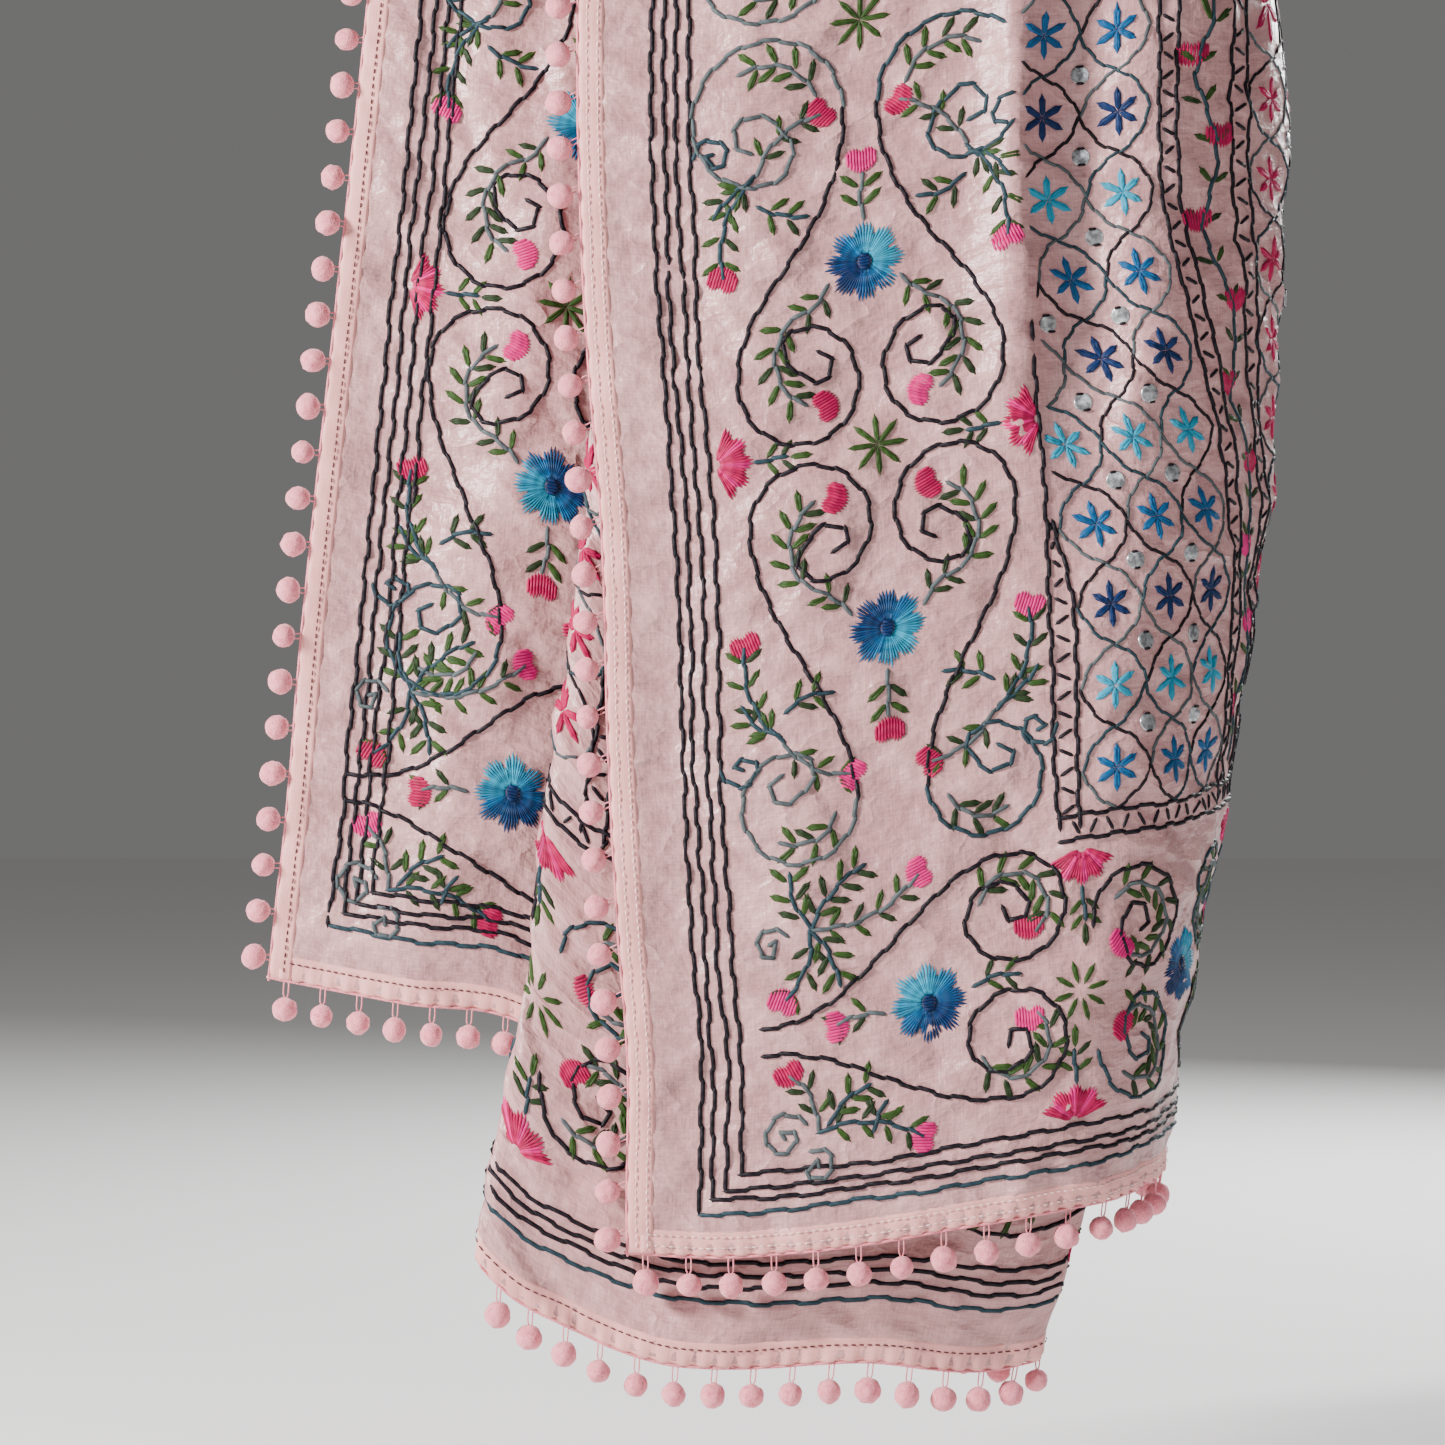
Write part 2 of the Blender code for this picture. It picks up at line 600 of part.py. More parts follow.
def build():
    """Builds every piece from the one grid."""
    points, normals, right_rows, left_rows = cloth_grid()
    places = cloth_columns()
    last_row, last_column = len(points) - 1, len(places) - 1
    split = places.index(PLY_SPLIT)
    shoulder_start, shoulder_end = right_rows - 1, last_row - left_rows + 1

    def part(rows, columns, side_rows, side_columns):
        block = points[rows[0] : rows[1] + 1, columns[0] : columns[1] + 1]
        lifts = normals[rows[0] : rows[1] + 1, columns[0] : columns[1] + 1]
        block_places = places[columns[0] : columns[1] + 1]
        return shrunk(block, block_places, side_rows, side_columns), lifts

    side = places.index(SIDE_SPLIT)
    right_top, left_top = shoulder_start + RIGHT_TOP_STEP, shoulder_start + LEFT_TOP_STEP

    stretches = (
        # name, rows, columns
        ("cloth_right_fall_front", (2, shoulder_start), (2, side)),
        ("cloth_right_fall_side", (2, shoulder_start), (side, last_column - 2)),
        ("cloth_right_shoulder", (shoulder_start, right_top), (2, last_column - 2)),
        ("cloth_back", (right_top, left_top), (2, last_column - 2)),
        ("cloth_left_shoulder", (left_top, shoulder_end), (2, last_column - 2)),
        ("cloth_left_fall_inner", (shoulder_end, last_row - 2), (2, split)),
        ("cloth_left_fall_outer", (shoulder_end, last_row - 2), (split, last_column - 2)),
    )
    for name, rows, columns in stretches:
        add_wall(name, *part(rows, columns, ("low", "high"), ("low", "high")), "cloth")

    lengths = (
        # name, rows, sides that meet another piece, spacing at the neck edge and at the outer edge
        ("right", (0, shoulder_start), ("high",), "right_front", "right_rear"),
        ("shoulders", (shoulder_start, shoulder_end), ("low", "high"), "neck", "back"),
        ("left", (shoulder_end, last_row), ("low",), "left_neck", "left_front"),
    )
    for name, rows, meets, neck_spacing, outer_spacing in lengths:
        tape_rows = (max(rows[0], 1), min(rows[1], last_row - 1))
        both = ("low", "high")
        add_wall(f"tape_{name}_neck_edge", *part(tape_rows, (1, 2), both, both), "tape")
        outer_columns = (last_column - 2, last_column - 1)
        add_wall(f"tape_{name}_outer_edge", *part(tape_rows, outer_columns, both, both), "tape")
        strip, lifts = part(rows, (0, 1), meets, ("high",))
        add_pompom_lace(f"pompoms_{name}_neck_edge", strip, lifts, SPACING[neck_spacing])
        strip, lifts = part(rows, (last_column - 1, last_column), meets, ("low",))
        flipped = strip[::-1, ::-1]
        add_pompom_lace(
            f"pompoms_{name}_outer_edge", flipped, lifts[::-1, ::-1], SPACING[outer_spacing]
        )

    hems = (
        # name, tape columns, which end of the cloth, spacing
        ("right_hem", (2, last_column - 2), "low", "right_hem"),
        ("left_inner_hem", (2, split), "high", "left_inner_hem"),
        ("left_outer_hem", (split, last_column - 2), "high", "left_outer_hem"),
    )
    for name, columns, end, spacing in hems:
        tape_rows = (1, 2) if end == "low" else (last_row - 2, last_row - 1)
        lace_rows = (0, 1) if end == "low" else (last_row - 1, last_row)
        both = ("low", "high")
        add_wall(f"tape_{name}", *part(tape_rows, columns, both, both), "tape")
        first = split if columns[0] == split else 1
        last = split if columns[1] == split else last_column - 1
        inner_side = ("high",) if end == "low" else ("low",)
        strip, lifts = part(lace_rows, (first, last), inner_side, both)
        strip, lifts = strip.transpose(1, 0, 2), lifts.transpose(1, 0, 2)
        if end == "low":
            strip, lifts = strip[::-1], lifts[::-1]
        else:
            strip, lifts = strip[:, ::-1], lifts[:, ::-1]
        add_pompom_lace(f"pompoms_{name}", strip, lifts, SPACING[spacing])


for thing in list(bpy.data.objects):
    bpy.data.objects.remove(thing)
build()
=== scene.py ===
"""The looks of a phulkari shawl: cloth, edge tape, pompoms, mirrors and hand embroidery.

Metres, +Z up, the front faces -Y. The cloth is one rectangle. "across" runs over its width from the
neck edge (0) to the outer edge, and "along" runs from the right fall's hem (0) over the shoulders to
the left fall's hem. Everything on the cloth is laid out in these two and then set on the drape.
"""

import logging
from dataclasses import dataclass, field
from enum import Enum
from typing import Sequence, Union

import bmesh
import bpy
import numpy as np
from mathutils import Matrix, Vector


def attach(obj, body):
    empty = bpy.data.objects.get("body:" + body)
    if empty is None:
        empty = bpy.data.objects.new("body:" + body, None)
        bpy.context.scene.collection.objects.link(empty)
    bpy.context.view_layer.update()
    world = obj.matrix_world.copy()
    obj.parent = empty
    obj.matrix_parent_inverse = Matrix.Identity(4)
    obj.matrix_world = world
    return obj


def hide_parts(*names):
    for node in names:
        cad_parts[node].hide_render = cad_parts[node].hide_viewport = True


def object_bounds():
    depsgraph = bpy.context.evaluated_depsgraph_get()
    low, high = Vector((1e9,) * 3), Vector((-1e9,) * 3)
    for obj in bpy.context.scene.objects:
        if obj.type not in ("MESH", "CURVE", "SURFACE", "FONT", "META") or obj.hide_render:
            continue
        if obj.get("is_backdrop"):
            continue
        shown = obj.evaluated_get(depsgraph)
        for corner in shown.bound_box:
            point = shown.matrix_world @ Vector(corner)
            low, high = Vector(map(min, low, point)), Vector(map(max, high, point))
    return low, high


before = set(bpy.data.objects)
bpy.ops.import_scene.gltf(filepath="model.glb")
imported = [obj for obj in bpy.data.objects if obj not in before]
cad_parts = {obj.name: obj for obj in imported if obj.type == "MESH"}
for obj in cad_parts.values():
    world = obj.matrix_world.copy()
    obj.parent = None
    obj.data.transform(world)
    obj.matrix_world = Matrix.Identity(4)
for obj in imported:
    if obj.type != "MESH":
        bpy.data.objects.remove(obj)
CAD_BOX = [list(corner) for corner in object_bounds()]
LOG = logging.getLogger("shawl")

Array = np.ndarray
Colour = tuple[float, float, float]
Number = Union[float, "Value"]

BODY = "root"

# The cut, as in the solids
CLOTH_WIDTH = 0.90
CLOTH_LENGTH = 2.50
TRIM_WIDTH = 0.019
RIGHT_FALL_LENGTHS = (0.85, 0.70)
LEFT_FALL_LENGTHS = (0.68, 0.68)
PLY_TURN = 0.20
PLY_FRONT_FOLD = 0.57
PLY_BACK_FOLD = 0.65
PLY_ROUNDING = 0.012
PLY_LEAN = 0.006
TURN_BEFORE = 0.02
TURN_AFTER = 0.07
SIDE_TURN_DEPTH = 0.115
FRONT_BOW = 0.010
PLAN_STEP = 0.004
ROUTE_STEP = 0.04
LEFT_OUTER_Y = -0.124
LEFT_PLY_Y = -0.138
LEFT_INNER_Y = -0.152
LEFT_TURN_Y = -0.100
LEFT_NECK_Y = -0.060

RIGHT_SECTIONS = np.array((
    # height, edge_x, side_x, front_y, back_y
    (-1.36, -0.047, 0.296, -0.180, 0.070),
    (-1.24, -0.051, 0.312, -0.180, 0.085),
    (-1.15, -0.050, 0.328, -0.181, 0.100),
    (-1.05, -0.057, 0.345, -0.182, 0.112),
    (-0.94, -0.063, 0.362, -0.182, 0.122),
    (-0.80, -0.067, 0.377, -0.181, 0.130),
    (-0.64, -0.079, 0.389, -0.180, 0.134),
    (-0.42, -0.083, 0.397, -0.178, 0.136),
    (-0.20, -0.070, 0.380, -0.170, 0.136),
))
RIGHT_HEM = np.array((
    # across, height
    (0.00, -1.270),
    (0.05, -1.273),
    (0.15, -1.265),
    (0.24, -1.250),
    (0.31, -1.240),
    (0.38, -1.232),
    (0.60, -1.205),
    (0.90, -1.165),
))
LEFT_SECTIONS = np.array((
    # height, edge_x, front_fold_x, turn_x, neck_x
    (-1.40, -0.318, -0.162, 0.225, 0.085),
    (-1.34, -0.314, -0.160, 0.236, 0.090),
    (-1.24, -0.307, -0.152, 0.268, 0.105),
    (-1.15, -0.300, -0.133, 0.274, 0.100),
    (-1.08, -0.295, -0.121, 0.274, 0.090),
    (-0.97, -0.283, -0.111, 0.272, 0.080),
    (-0.87, -0.275, -0.094, 0.268, 0.070),
    (-0.77, -0.265, -0.084, 0.262, 0.062),
    (-0.65, -0.252, -0.078, 0.240, 0.052),
    (-0.43, -0.229, -0.066, 0.170, 0.030),
    (-0.30, -0.218, -0.080, 0.110, 0.010),
))
LEFT_HEM = np.array((
    # across, height
    (0.00, -1.315),
    (0.12, -1.335),
    (0.19, -1.345),
    (0.22, -1.353),
    (0.32, -1.346),
    (0.405, -1.349),
    (0.446, -1.345),
    (0.477, -1.335),
    (0.508, -1.320),
    (0.539, -1.303),
    (0.565, -1.278),
    (0.610, -1.226),
    (0.655, -1.172),
    (0.700, -1.132),
    (0.73, -1.118),
    (0.80, -1.108),
    (0.90, -1.090),
))
SHOULDER_SECTIONS = np.array((
    # five points evenly spaced across the cloth, from the right side round the neck to the left front
    ((-0.030, -0.152, -0.250), (0.145, -0.150, -0.215), (0.285, -0.090, -0.195),
     (0.312, 0.070, -0.245), (0.160, 0.144, -0.455)),
    ((0.040, -0.082, -0.080), (0.142, -0.082, -0.062), (0.222, -0.028, -0.072),
     (0.244, 0.078, -0.190), (0.132, 0.150, -0.462)),
    ((0.072, -0.006, 0.032), (0.132, 0.016, 0.010), (0.178, 0.054, -0.042),
     (0.186, 0.110, -0.195), (0.095, 0.154, -0.468)),
    ((0.055, 0.052, 0.036), (0.088, 0.086, -0.012), (0.108, 0.112, -0.105),
     (0.104, 0.140, -0.275), (0.045, 0.158, -0.470)),
    ((0.000, 0.072, 0.034), (0.002, 0.103, -0.022), (0.002, 0.127, -0.120),
     (-0.006, 0.149, -0.280), (-0.022, 0.158, -0.450)),
    ((-0.052, 0.054, 0.036), (-0.072, 0.083, 0.000), (-0.092, 0.104, -0.070),
     (-0.109, 0.124, -0.175), (-0.122, 0.134, -0.300)),
    ((-0.070, -0.002, 0.030), (-0.101, 0.000, 0.022), (-0.133, 0.002, 0.011),
     (-0.164, 0.003, -0.002), (-0.194, 0.003, -0.020)),
    ((-0.052, -0.076, -0.075), (-0.090, -0.082, -0.072), (-0.129, -0.086, -0.080),
     (-0.168, -0.082, -0.088), (-0.204, -0.068, -0.105)),
    ((0.012, -0.088, -0.350), (0.078, -0.138, -0.350), (-0.028, -0.150, -0.330),
     (-0.110, -0.112, -0.270), (-0.218, -0.104, -0.255)),
))
FOLD_FADE = 0.18
RIGHT_FOLDS = (
    # across, width, height, bottom, top, lean
    (0.245, 0.020, 0.016, 0.46, 0.98, 0.065),
    (0.305, 0.030, -0.010, 0.40, 0.95, 0.050),
    (0.140, 0.045, 0.007, 0.10, 0.90, -0.02),
    (0.330, 0.050, 0.008, -0.10, 0.45, 0.06),
    (0.045, 0.022, -0.005, -0.10, 0.55, 0.01),
    (0.550, 0.045, 0.012, -0.10, 0.85, 0.03),
    (0.660, 0.040, -0.012, -0.10, 0.85, 0.03),
    (0.770, 0.045, 0.012, -0.10, 0.80, 0.02),
)
LEFT_FOLDS = (
    # across, width, height, bottom, top, lean
    (0.790, 0.032, 0.008, -0.10, 0.70, -0.04),
    (0.715, 0.030, -0.006, 0.00, 0.70, -0.04),
    (0.860, 0.020, -0.004, 0.05, 0.60, 0.00),
    (0.430, 0.050, 0.006, -0.10, 0.50, 0.02),
    (0.300, 0.040, -0.006, -0.10, 0.55, 0.02),
)
GATHER_WAVES = 5
GATHER_MARGIN = 0.08
GATHER_HEIGHTS = np.array((
    # part of the shoulder stretch, height
    (0.00, 0.000),
    (0.20, 0.003),
    (0.40, 0.006),
    (0.55, 0.006),
    (0.72, 0.004),
    (0.85, 0.004),
    (1.00, 0.000),
))

# Where the stitches are parted into three pieces, along the cloth
STITCH_SPLITS = (0.78, CLOTH_LENGTH - 0.68)

# Soft noise over the cloth, each kind on skewed coordinates
NOISES = {
    # share of across, share of along in it, share of across in along, cell across, cell along, seed
    "soft": (1.0, 0.3, 0.0, 0.050, 0.034, 11),
    "fine": (1.0, 0.0, 0.4, 0.019, 0.014, 12),
    "slight": (1.0, -0.5, 0.0, 0.027, 0.045, 13),
    "ridge": (1.1, -0.5, 0.6, 0.085, 0.060, 15),
    "trough": (1.0, 0.8, -0.3, 0.070, 0.090, 16),
    "gather": (1.0, 0.0, 0.0, 0.200, 0.500, 14),
}

# Where the tuck's edge and the shoulders' small gathers show along the cloth: from, over, to, over
TUCK_SHOWS = (0.44, 0.20, 1.02, 0.15)
GATHERS_SHOW = (0.78, 0.15, 2.05, 0.20)

# Soft creases on the falls, finer than the solids have
CREASES = (
    # stretch, across, up, half length, half width, height, turn in radians
    ("right", 0.050, 0.740, 0.070, 0.007, 0.0030, -0.30),
    ("right", 0.120, 0.640, 0.080, 0.008, -0.0024, 0.10),
    ("right", 0.075, 0.430, 0.060, 0.007, 0.0022, 0.16),
    ("right", 0.060, 0.270, 0.075, 0.009, 0.0030, -0.45),
    ("right", 0.190, 0.300, 0.060, 0.008, -0.0020, -0.30),
    ("right", 0.030, 0.120, 0.055, 0.007, 0.0026, 0.75),
    ("right", 0.240, 0.110, 0.070, 0.010, 0.0026, 0.30),
    ("right", 0.400, 0.200, 0.080, 0.010, 0.0030, 0.55),
    ("right", 0.430, 0.480, 0.080, 0.010, -0.0028, 0.80),
    ("right", 0.620, 0.360, 0.110, 0.012, 0.0036, 1.10),
    ("right", 0.720, 0.180, 0.090, 0.010, -0.0030, 0.60),
    ("left", 0.830, 0.520, 0.060, 0.009, 0.0030, -0.60),
    ("left", 0.800, 0.360, 0.070, 0.009, -0.0026, -0.35),
    ("left", 0.850, 0.200, 0.060, 0.008, 0.0030, 0.50),
    ("left", 0.760, 0.110, 0.060, 0.008, 0.0024, -0.70),
    ("left", 0.500, 0.120, 0.070, 0.009, 0.0028, 0.60),
    ("left", 0.400, 0.060, 0.080, 0.008, -0.0024, 0.15),
    ("left", 0.330, 0.100, 0.070, 0.009, 0.0026, -0.40),
)

# The tuck of the right fall: it swallows cloth beside its ridge, most at the top
TUCK_DEPTH = 0.078
TUCK_PLACE = 0.309
TUCK_LEAN = -0.022
TUCK_START, TUCK_FULL = 0.38, 0.70
TUCK_HOLD, TUCK_END = 1.10, 1.50
TUCK_NEAR, TUCK_FAR = 0.487, 0.650
TUCK_SHALLOW = 0.012


class Thread(Enum):
    """The skeins that the shawl is worked in, as linear colours, and one painted shadow colour for the
    tape's grooved seams.
    """

    AUBERGINE = (0.004, 0.002, 0.006)
    TEAL = (0.012, 0.034, 0.046)
    SLATE = (0.062, 0.078, 0.084)
    LEAF = (0.020, 0.052, 0.006)
    MOSS = (0.010, 0.024, 0.005)
    MAGENTA = (0.360, 0.000, 0.060)
    ROSE = (0.560, 0.006, 0.150)
    NAVY = (0.001, 0.016, 0.075)
    BLUE = (0.001, 0.070, 0.190)
    SKY = (0.010, 0.240, 0.370)
    PALE = (0.880, 0.600, 0.580)
    # Not a skein's own colour: painted shadow, which darkens the tape's seam stitches where they lie in its
    # groove on the left fall.
    SEAM_SHADOW = (0.100, 0.035, 0.035)


def smooth(part: Array) -> Array:
    """A soft step from 0 to 1, of a value that is clipped to them."""
    part = np.clip(part, 0, 1)
    return part * part * (3 - 2 * part)


def between(at: Array, low: float, rise: float, high: float, fall: float) -> Array:
    """1 between two places and 0 outside them, with a soft step at each.

    Args:
        at: Where to read it.
        low: Where the first step starts.
        rise: How long the first step is.
        high: Where the second step ends.
        fall: How long the second step is.

    Returns:
        The value at each place.
    """
    return smooth((at - low) / rise) * smooth((high - at) / fall)


def eased(table: Array, number: int, at: Array) -> Array:
    """Reads a column of a table on a smooth curve through its rows.

    Args:
        table: Rows whose first column is the key, in rising order.
        number: The column to read.
        at: Keys to read at.

    Returns:
        The column's values there.
    """
    keys, values = table[:, 0], table[:, number]
    slopes = np.gradient(values, keys)
    at = np.clip(at, keys[0], keys[-1])
    low = np.clip(np.searchsorted(keys, at) - 1, 0, len(keys) - 2)
    span = keys[low + 1] - keys[low]
    part = (at - keys[low]) / span
    rise = part * part * (3 - 2 * part)
    start = part * (1 - part) ** 2 * span * slopes[low]
    end = part * part * (1 - part) * span * slopes[low + 1]
    return values[low] * (1 - rise) + values[low + 1] * rise + start - end


def rounded(places: Array, values: Array, at: Array, reach: float) -> Array:
    """Reads a bent line whose corners are rounded.

    Args:
        places: Where the line's corners are, in rising order.
        values: The line's values at its corners, one row for each corner.
        at: Places to read at, one for each column of the values.
        reach: How far the rounding goes on each side of a corner.

    Returns:
        The rounded values.
    """
    total = np.zeros_like(at)
    shifts = np.linspace(-reach, reach, 9)
    for shift in shifts:
        where = at + shift
        low = np.clip(np.searchsorted(places, where) - 1, 0, len(places) - 2)
        part = np.clip((where - places[low]) / (places[low + 1] - places[low]), 0, 1)
        lower = np.take_along_axis(values, low[None], 0)[0]
        upper = np.take_along_axis(values, low[None] + 1, 0)[0]
        total += lower + (upper - lower) * part
    return total / len(shifts)


def patches(u: Array, v: Array, cell_u: float, cell_v: float, seed: int) -> Array:
    """Soft noise from -1 to 1 over a plane.

    Args:
        u: First coordinates.
        v: Second coordinates.
        cell_u: Size of a patch along the first.
        cell_v: Size of a patch along the second.
        seed: Picks the pattern.

    Returns:
        The noise at each point.
    """
    size = 128
    table = np.random.default_rng(seed).uniform(-1, 1, (size, size))
    x, y = np.asarray(u) / cell_u, np.asarray(v) / cell_v
    i, j = np.floor(x).astype(int), np.floor(y).astype(int)
    a, b = smooth(x - i), smooth(y - j)
    near = table[i % size, j % size] * (1 - b) + table[i % size, (j + 1) % size] * b
    far = table[(i + 1) % size, j % size] * (1 - b) + table[(i + 1) % size, (j + 1) % size] * b
    return near * (1 - a) + far * a


def spline(a: Array, b: Array, c: Array, d: Array, part: float) -> Array:
    """A place part of the way from b to c, on the smooth line through all four."""
    bend = 2 * b + part * (c - a) + part**2 * (2 * a - 5 * b + 4 * c - d)
    return (bend + part**3 * (3 * b - a - 3 * c + d)) / 2


def curve_through(points: Sequence[Array], step: float) -> Array:
    """A smooth line through three or more places.

    Args:
        points: The places.
        step: About how far apart the line's points are.

    Returns:
        The line's points.
    """
    knots = np.asarray(points, float)
    padded = np.concatenate([[2 * knots[0] - knots[1]], knots, [2 * knots[-1] - knots[-2]]])
    made = []
    for n in range(len(knots) - 1):
        a, b, c, d = padded[n : n + 4]
        count = max(int(np.linalg.norm(c - b) / step), 1)
        made += [spline(a, b, c, d, part) for part in np.arange(count) / count]
    made.append(knots[-1])
    return np.array(made)


def bezier(
    first: Sequence[float],
    one: Sequence[float],
    two: Sequence[float],
    last: Sequence[float],
) -> Array:
    """A smooth line that leaves its start towards one place and reaches its end from another.

    Args:
        first: Where it starts.
        one: The place that it leaves towards.
        two: The place that it arrives from.
        last: Where it ends.

    Returns:
        Its points.
    """
    first, one, two, last = (np.asarray(place, float) for place in (first, one, two, last))
    part = np.linspace(0, 1, 33)[:, None]
    line = first * (1 - part) ** 3 + 3 * one * part * (1 - part) ** 2
    return line + 3 * two * part**2 * (1 - part) + last * part**3


def circles(first: Array, second: Array, sides: int) -> Array:
    """Unit circles, one in the plane of each pair of directions."""
    angles = np.linspace(0, 2 * np.pi, sides, endpoint=False)
    across, up = np.cos(angles)[None, :, None], np.sin(angles)[None, :, None]
    return first[:, None] * across + second[:, None] * up


@dataclass
class Drape:
    """The shawl's surface, worked out once on a fine grid and read between its points."""

    column_step: float = 0.0058
    fold_step: float = 0.0022
    right_rows: int = 124
    shoulder_rows: int = 176
    left_rows: int = 104
    crumple: float = 0.0021
    slight_share: float = 0.7
    pucker: float = 0.0011
    crease: float = 0.0032
    calm_margin: float = 0.05
    calm_share: float = 0.45
    tuck_ridge: float = 0.0045
    tuck_slope: float = 0.016
    tuck_step: float = 0.004
    gather_pitch: float = 0.062
    gather_sway: float = 2.2
    gather_height: float = 0.0022
    gather_margin: float = 0.06
    columns: Array = field(init=False)
    points: Array = field(init=False)
    normals: Array = field(init=False)

    def __post_init__(self) -> None:
        """Works out the columns, the points and the normals."""
        even = np.arange(0, CLOTH_WIDTH + self.column_step / 2, self.column_step)
        near = [np.arange(-1.6, 1.7, 0.2) * PLY_ROUNDING + fold for fold in (PLY_FRONT_FOLD, PLY_BACK_FOLD)]
        both = np.concatenate([even, *near, [0, TRIM_WIDTH, CLOTH_WIDTH - TRIM_WIDTH, CLOTH_WIDTH]])
        both = np.unique(np.round(both[both <= CLOTH_WIDTH], 5))
        keep = np.concatenate([[True], np.diff(both) > self.fold_step * 0.5])
        keep[-1] = True
        self.columns = both[keep]
        self.points = self.base()
        self.normals = self.facing(self.points)
        self.points = self.points + self.normals * self.relief()[..., None]
        self.normals = self.facing(self.points)

    def folds(self, table: Sequence[Sequence[float]], across: Array, up: Array) -> Array:
        """How far a fall's large folds lift the cloth."""
        total = np.zeros_like(across + up)
        for centre, width, height, bottom, top, lean in table:
            shape = np.exp(-(((across - centre - lean * up) / width) ** 2))
            total += height * shape * between(up, bottom, FOLD_FADE, top, FOLD_FADE)
        return total

    def right_plan(self, across: Array, height: Array) -> tuple[Array, Array]:
        """The right fall in plan.

        Args:
            across: Places across the cloth.
            height: World heights.

        Returns:
            The x and the y of each place.
        """
        edge, side, front, back = (eased(RIGHT_SECTIONS, n, height) for n in (1, 2, 3, 4))
        half_depth = (back - front) / 2
        middle = side - SIDE_TURN_DEPTH
        straight = middle - edge
        turn = np.pi * np.sqrt((SIDE_TURN_DEPTH**2 + half_depth**2) / 2)
        angle = np.clip(np.pi * (across - straight) / turn, 0, np.pi)
        rest = np.maximum(across - straight - turn, 0)
        x = np.where(across < straight, edge + across, middle + SIDE_TURN_DEPTH * np.sin(angle) - rest)
        bow = FRONT_BOW * np.clip(1 - across / straight, 0, 1) ** 2
        return x, front + bow + half_depth * (1 - np.cos(angle))

    def right_point(self, across: Array, up: Array) -> Array:
        """Points of the right fall at places across and heights above its hem."""
        height = eased(RIGHT_HEM, 1, across) + up
        x, y = self.right_plan(across, height)
        before = self.right_plan(across - PLAN_STEP, height)
        after = self.right_plan(across + PLAN_STEP, height)
        run_x, run_y = after[0] - before[0], after[1] - before[1]
        lift = self.folds(RIGHT_FOLDS, across, up) / np.hypot(run_x, run_y)
        return np.stack([x + run_y * lift, y - run_x * lift, height], axis=-1)

    def left_point(self, across: Array, up: Array) -> Array:
        """Points of the left fall at places across and heights above its hem."""
        height = eased(LEFT_HEM, 1, across) + up
        edge, fold, turn, neck = (eased(LEFT_SECTIONS, n, height) for n in (1, 2, 3, 4))
        back_fold = edge + (fold - edge + CLOTH_WIDTH - PLY_FRONT_FOLD) / 2
        places = np.array((0, PLY_TURN, PLY_FRONT_FOLD, PLY_BACK_FOLD, CLOTH_WIDTH))
        x = rounded(places, np.stack([neck, turn, fold, back_fold, edge]), across, PLY_ROUNDING)
        depth_places = np.array((
            0, PLY_TURN - TURN_BEFORE, PLY_TURN + TURN_AFTER, PLY_FRONT_FOLD - PLY_ROUNDING,
            PLY_FRONT_FOLD + PLY_ROUNDING, PLY_BACK_FOLD - PLY_ROUNDING,
            PLY_BACK_FOLD + PLY_ROUNDING, CLOTH_WIDTH,
        ))
        depths = np.array((
            LEFT_NECK_Y, LEFT_TURN_Y, LEFT_INNER_Y + PLY_LEAN, LEFT_INNER_Y,
            LEFT_PLY_Y, LEFT_PLY_Y, LEFT_OUTER_Y, LEFT_OUTER_Y + PLY_LEAN,
        ))
        y = rounded(depth_places, np.repeat(depths[:, None], len(across), axis=1), across, PLY_ROUNDING)
        turned = (across < PLY_TURN) | ((across > PLY_FRONT_FOLD) & (across < PLY_BACK_FOLD))
        lift = self.folds(LEFT_FOLDS, across, up) * np.where(turned, 1, -1)
        return np.stack([x, y + lift, height], axis=-1)

    def fall_lengths(self, lengths: tuple[float, float], across: Array) -> Array:
        """How long a fall hangs straight at places across the cloth."""
        return np.interp(across, (0, CLOTH_WIDTH), lengths)

    def shoulders(self, across: Array) -> Array:
        """Rows of points over the shoulders, from the right fall's top to the left one's.

        Args:
            across: Places across the cloth.

        Returns:
            The rows, with both falls' top rows.
        """
        right_top = self.fall_lengths(RIGHT_FALL_LENGTHS, across)
        left_top = self.fall_lengths(LEFT_FALL_LENGTHS, across)
        right, left = self.right_point(across, right_top), self.left_point(across, left_top)
        keys = np.linspace(0, CLOTH_WIDTH, 5)
        over = []
        for section in SHOULDER_SECTIONS:
            table = np.concatenate([keys[:, None], section], axis=1)
            over.append(np.stack([eased(table, n, across) for n in (1, 2, 3)], axis=-1))

        def beyond(end: Array, below: Array, neighbour: Array) -> Array:
            """A point past a route's end, which makes it leave the end as the fall hangs."""
            way = (end - below) / np.linalg.norm(end - below, axis=-1, keepdims=True)
            return neighbour - 2 * np.linalg.norm(neighbour - end, axis=-1, keepdims=True) * way

        first = beyond(right, self.right_point(across, right_top - ROUTE_STEP), over[0])
        last = beyond(left, self.left_point(across, left_top - ROUTE_STEP), over[-1])
        routes = np.stack([first, right, *over, left, last])
        spans = np.linalg.norm(np.diff(routes[1:-1], axis=0), axis=2).mean(axis=1)
        lengths = np.concatenate([[0], np.cumsum(spans)])
        rows = []
        for wanted in np.linspace(0, lengths[-1], self.shoulder_rows + 1):
            k = int(np.clip(np.searchsorted(lengths, wanted) - 1, 0, len(spans) - 1))
            rows.append(spline(*routes[k : k + 4], (wanted - lengths[k]) / spans[k]))
        return np.array(rows)

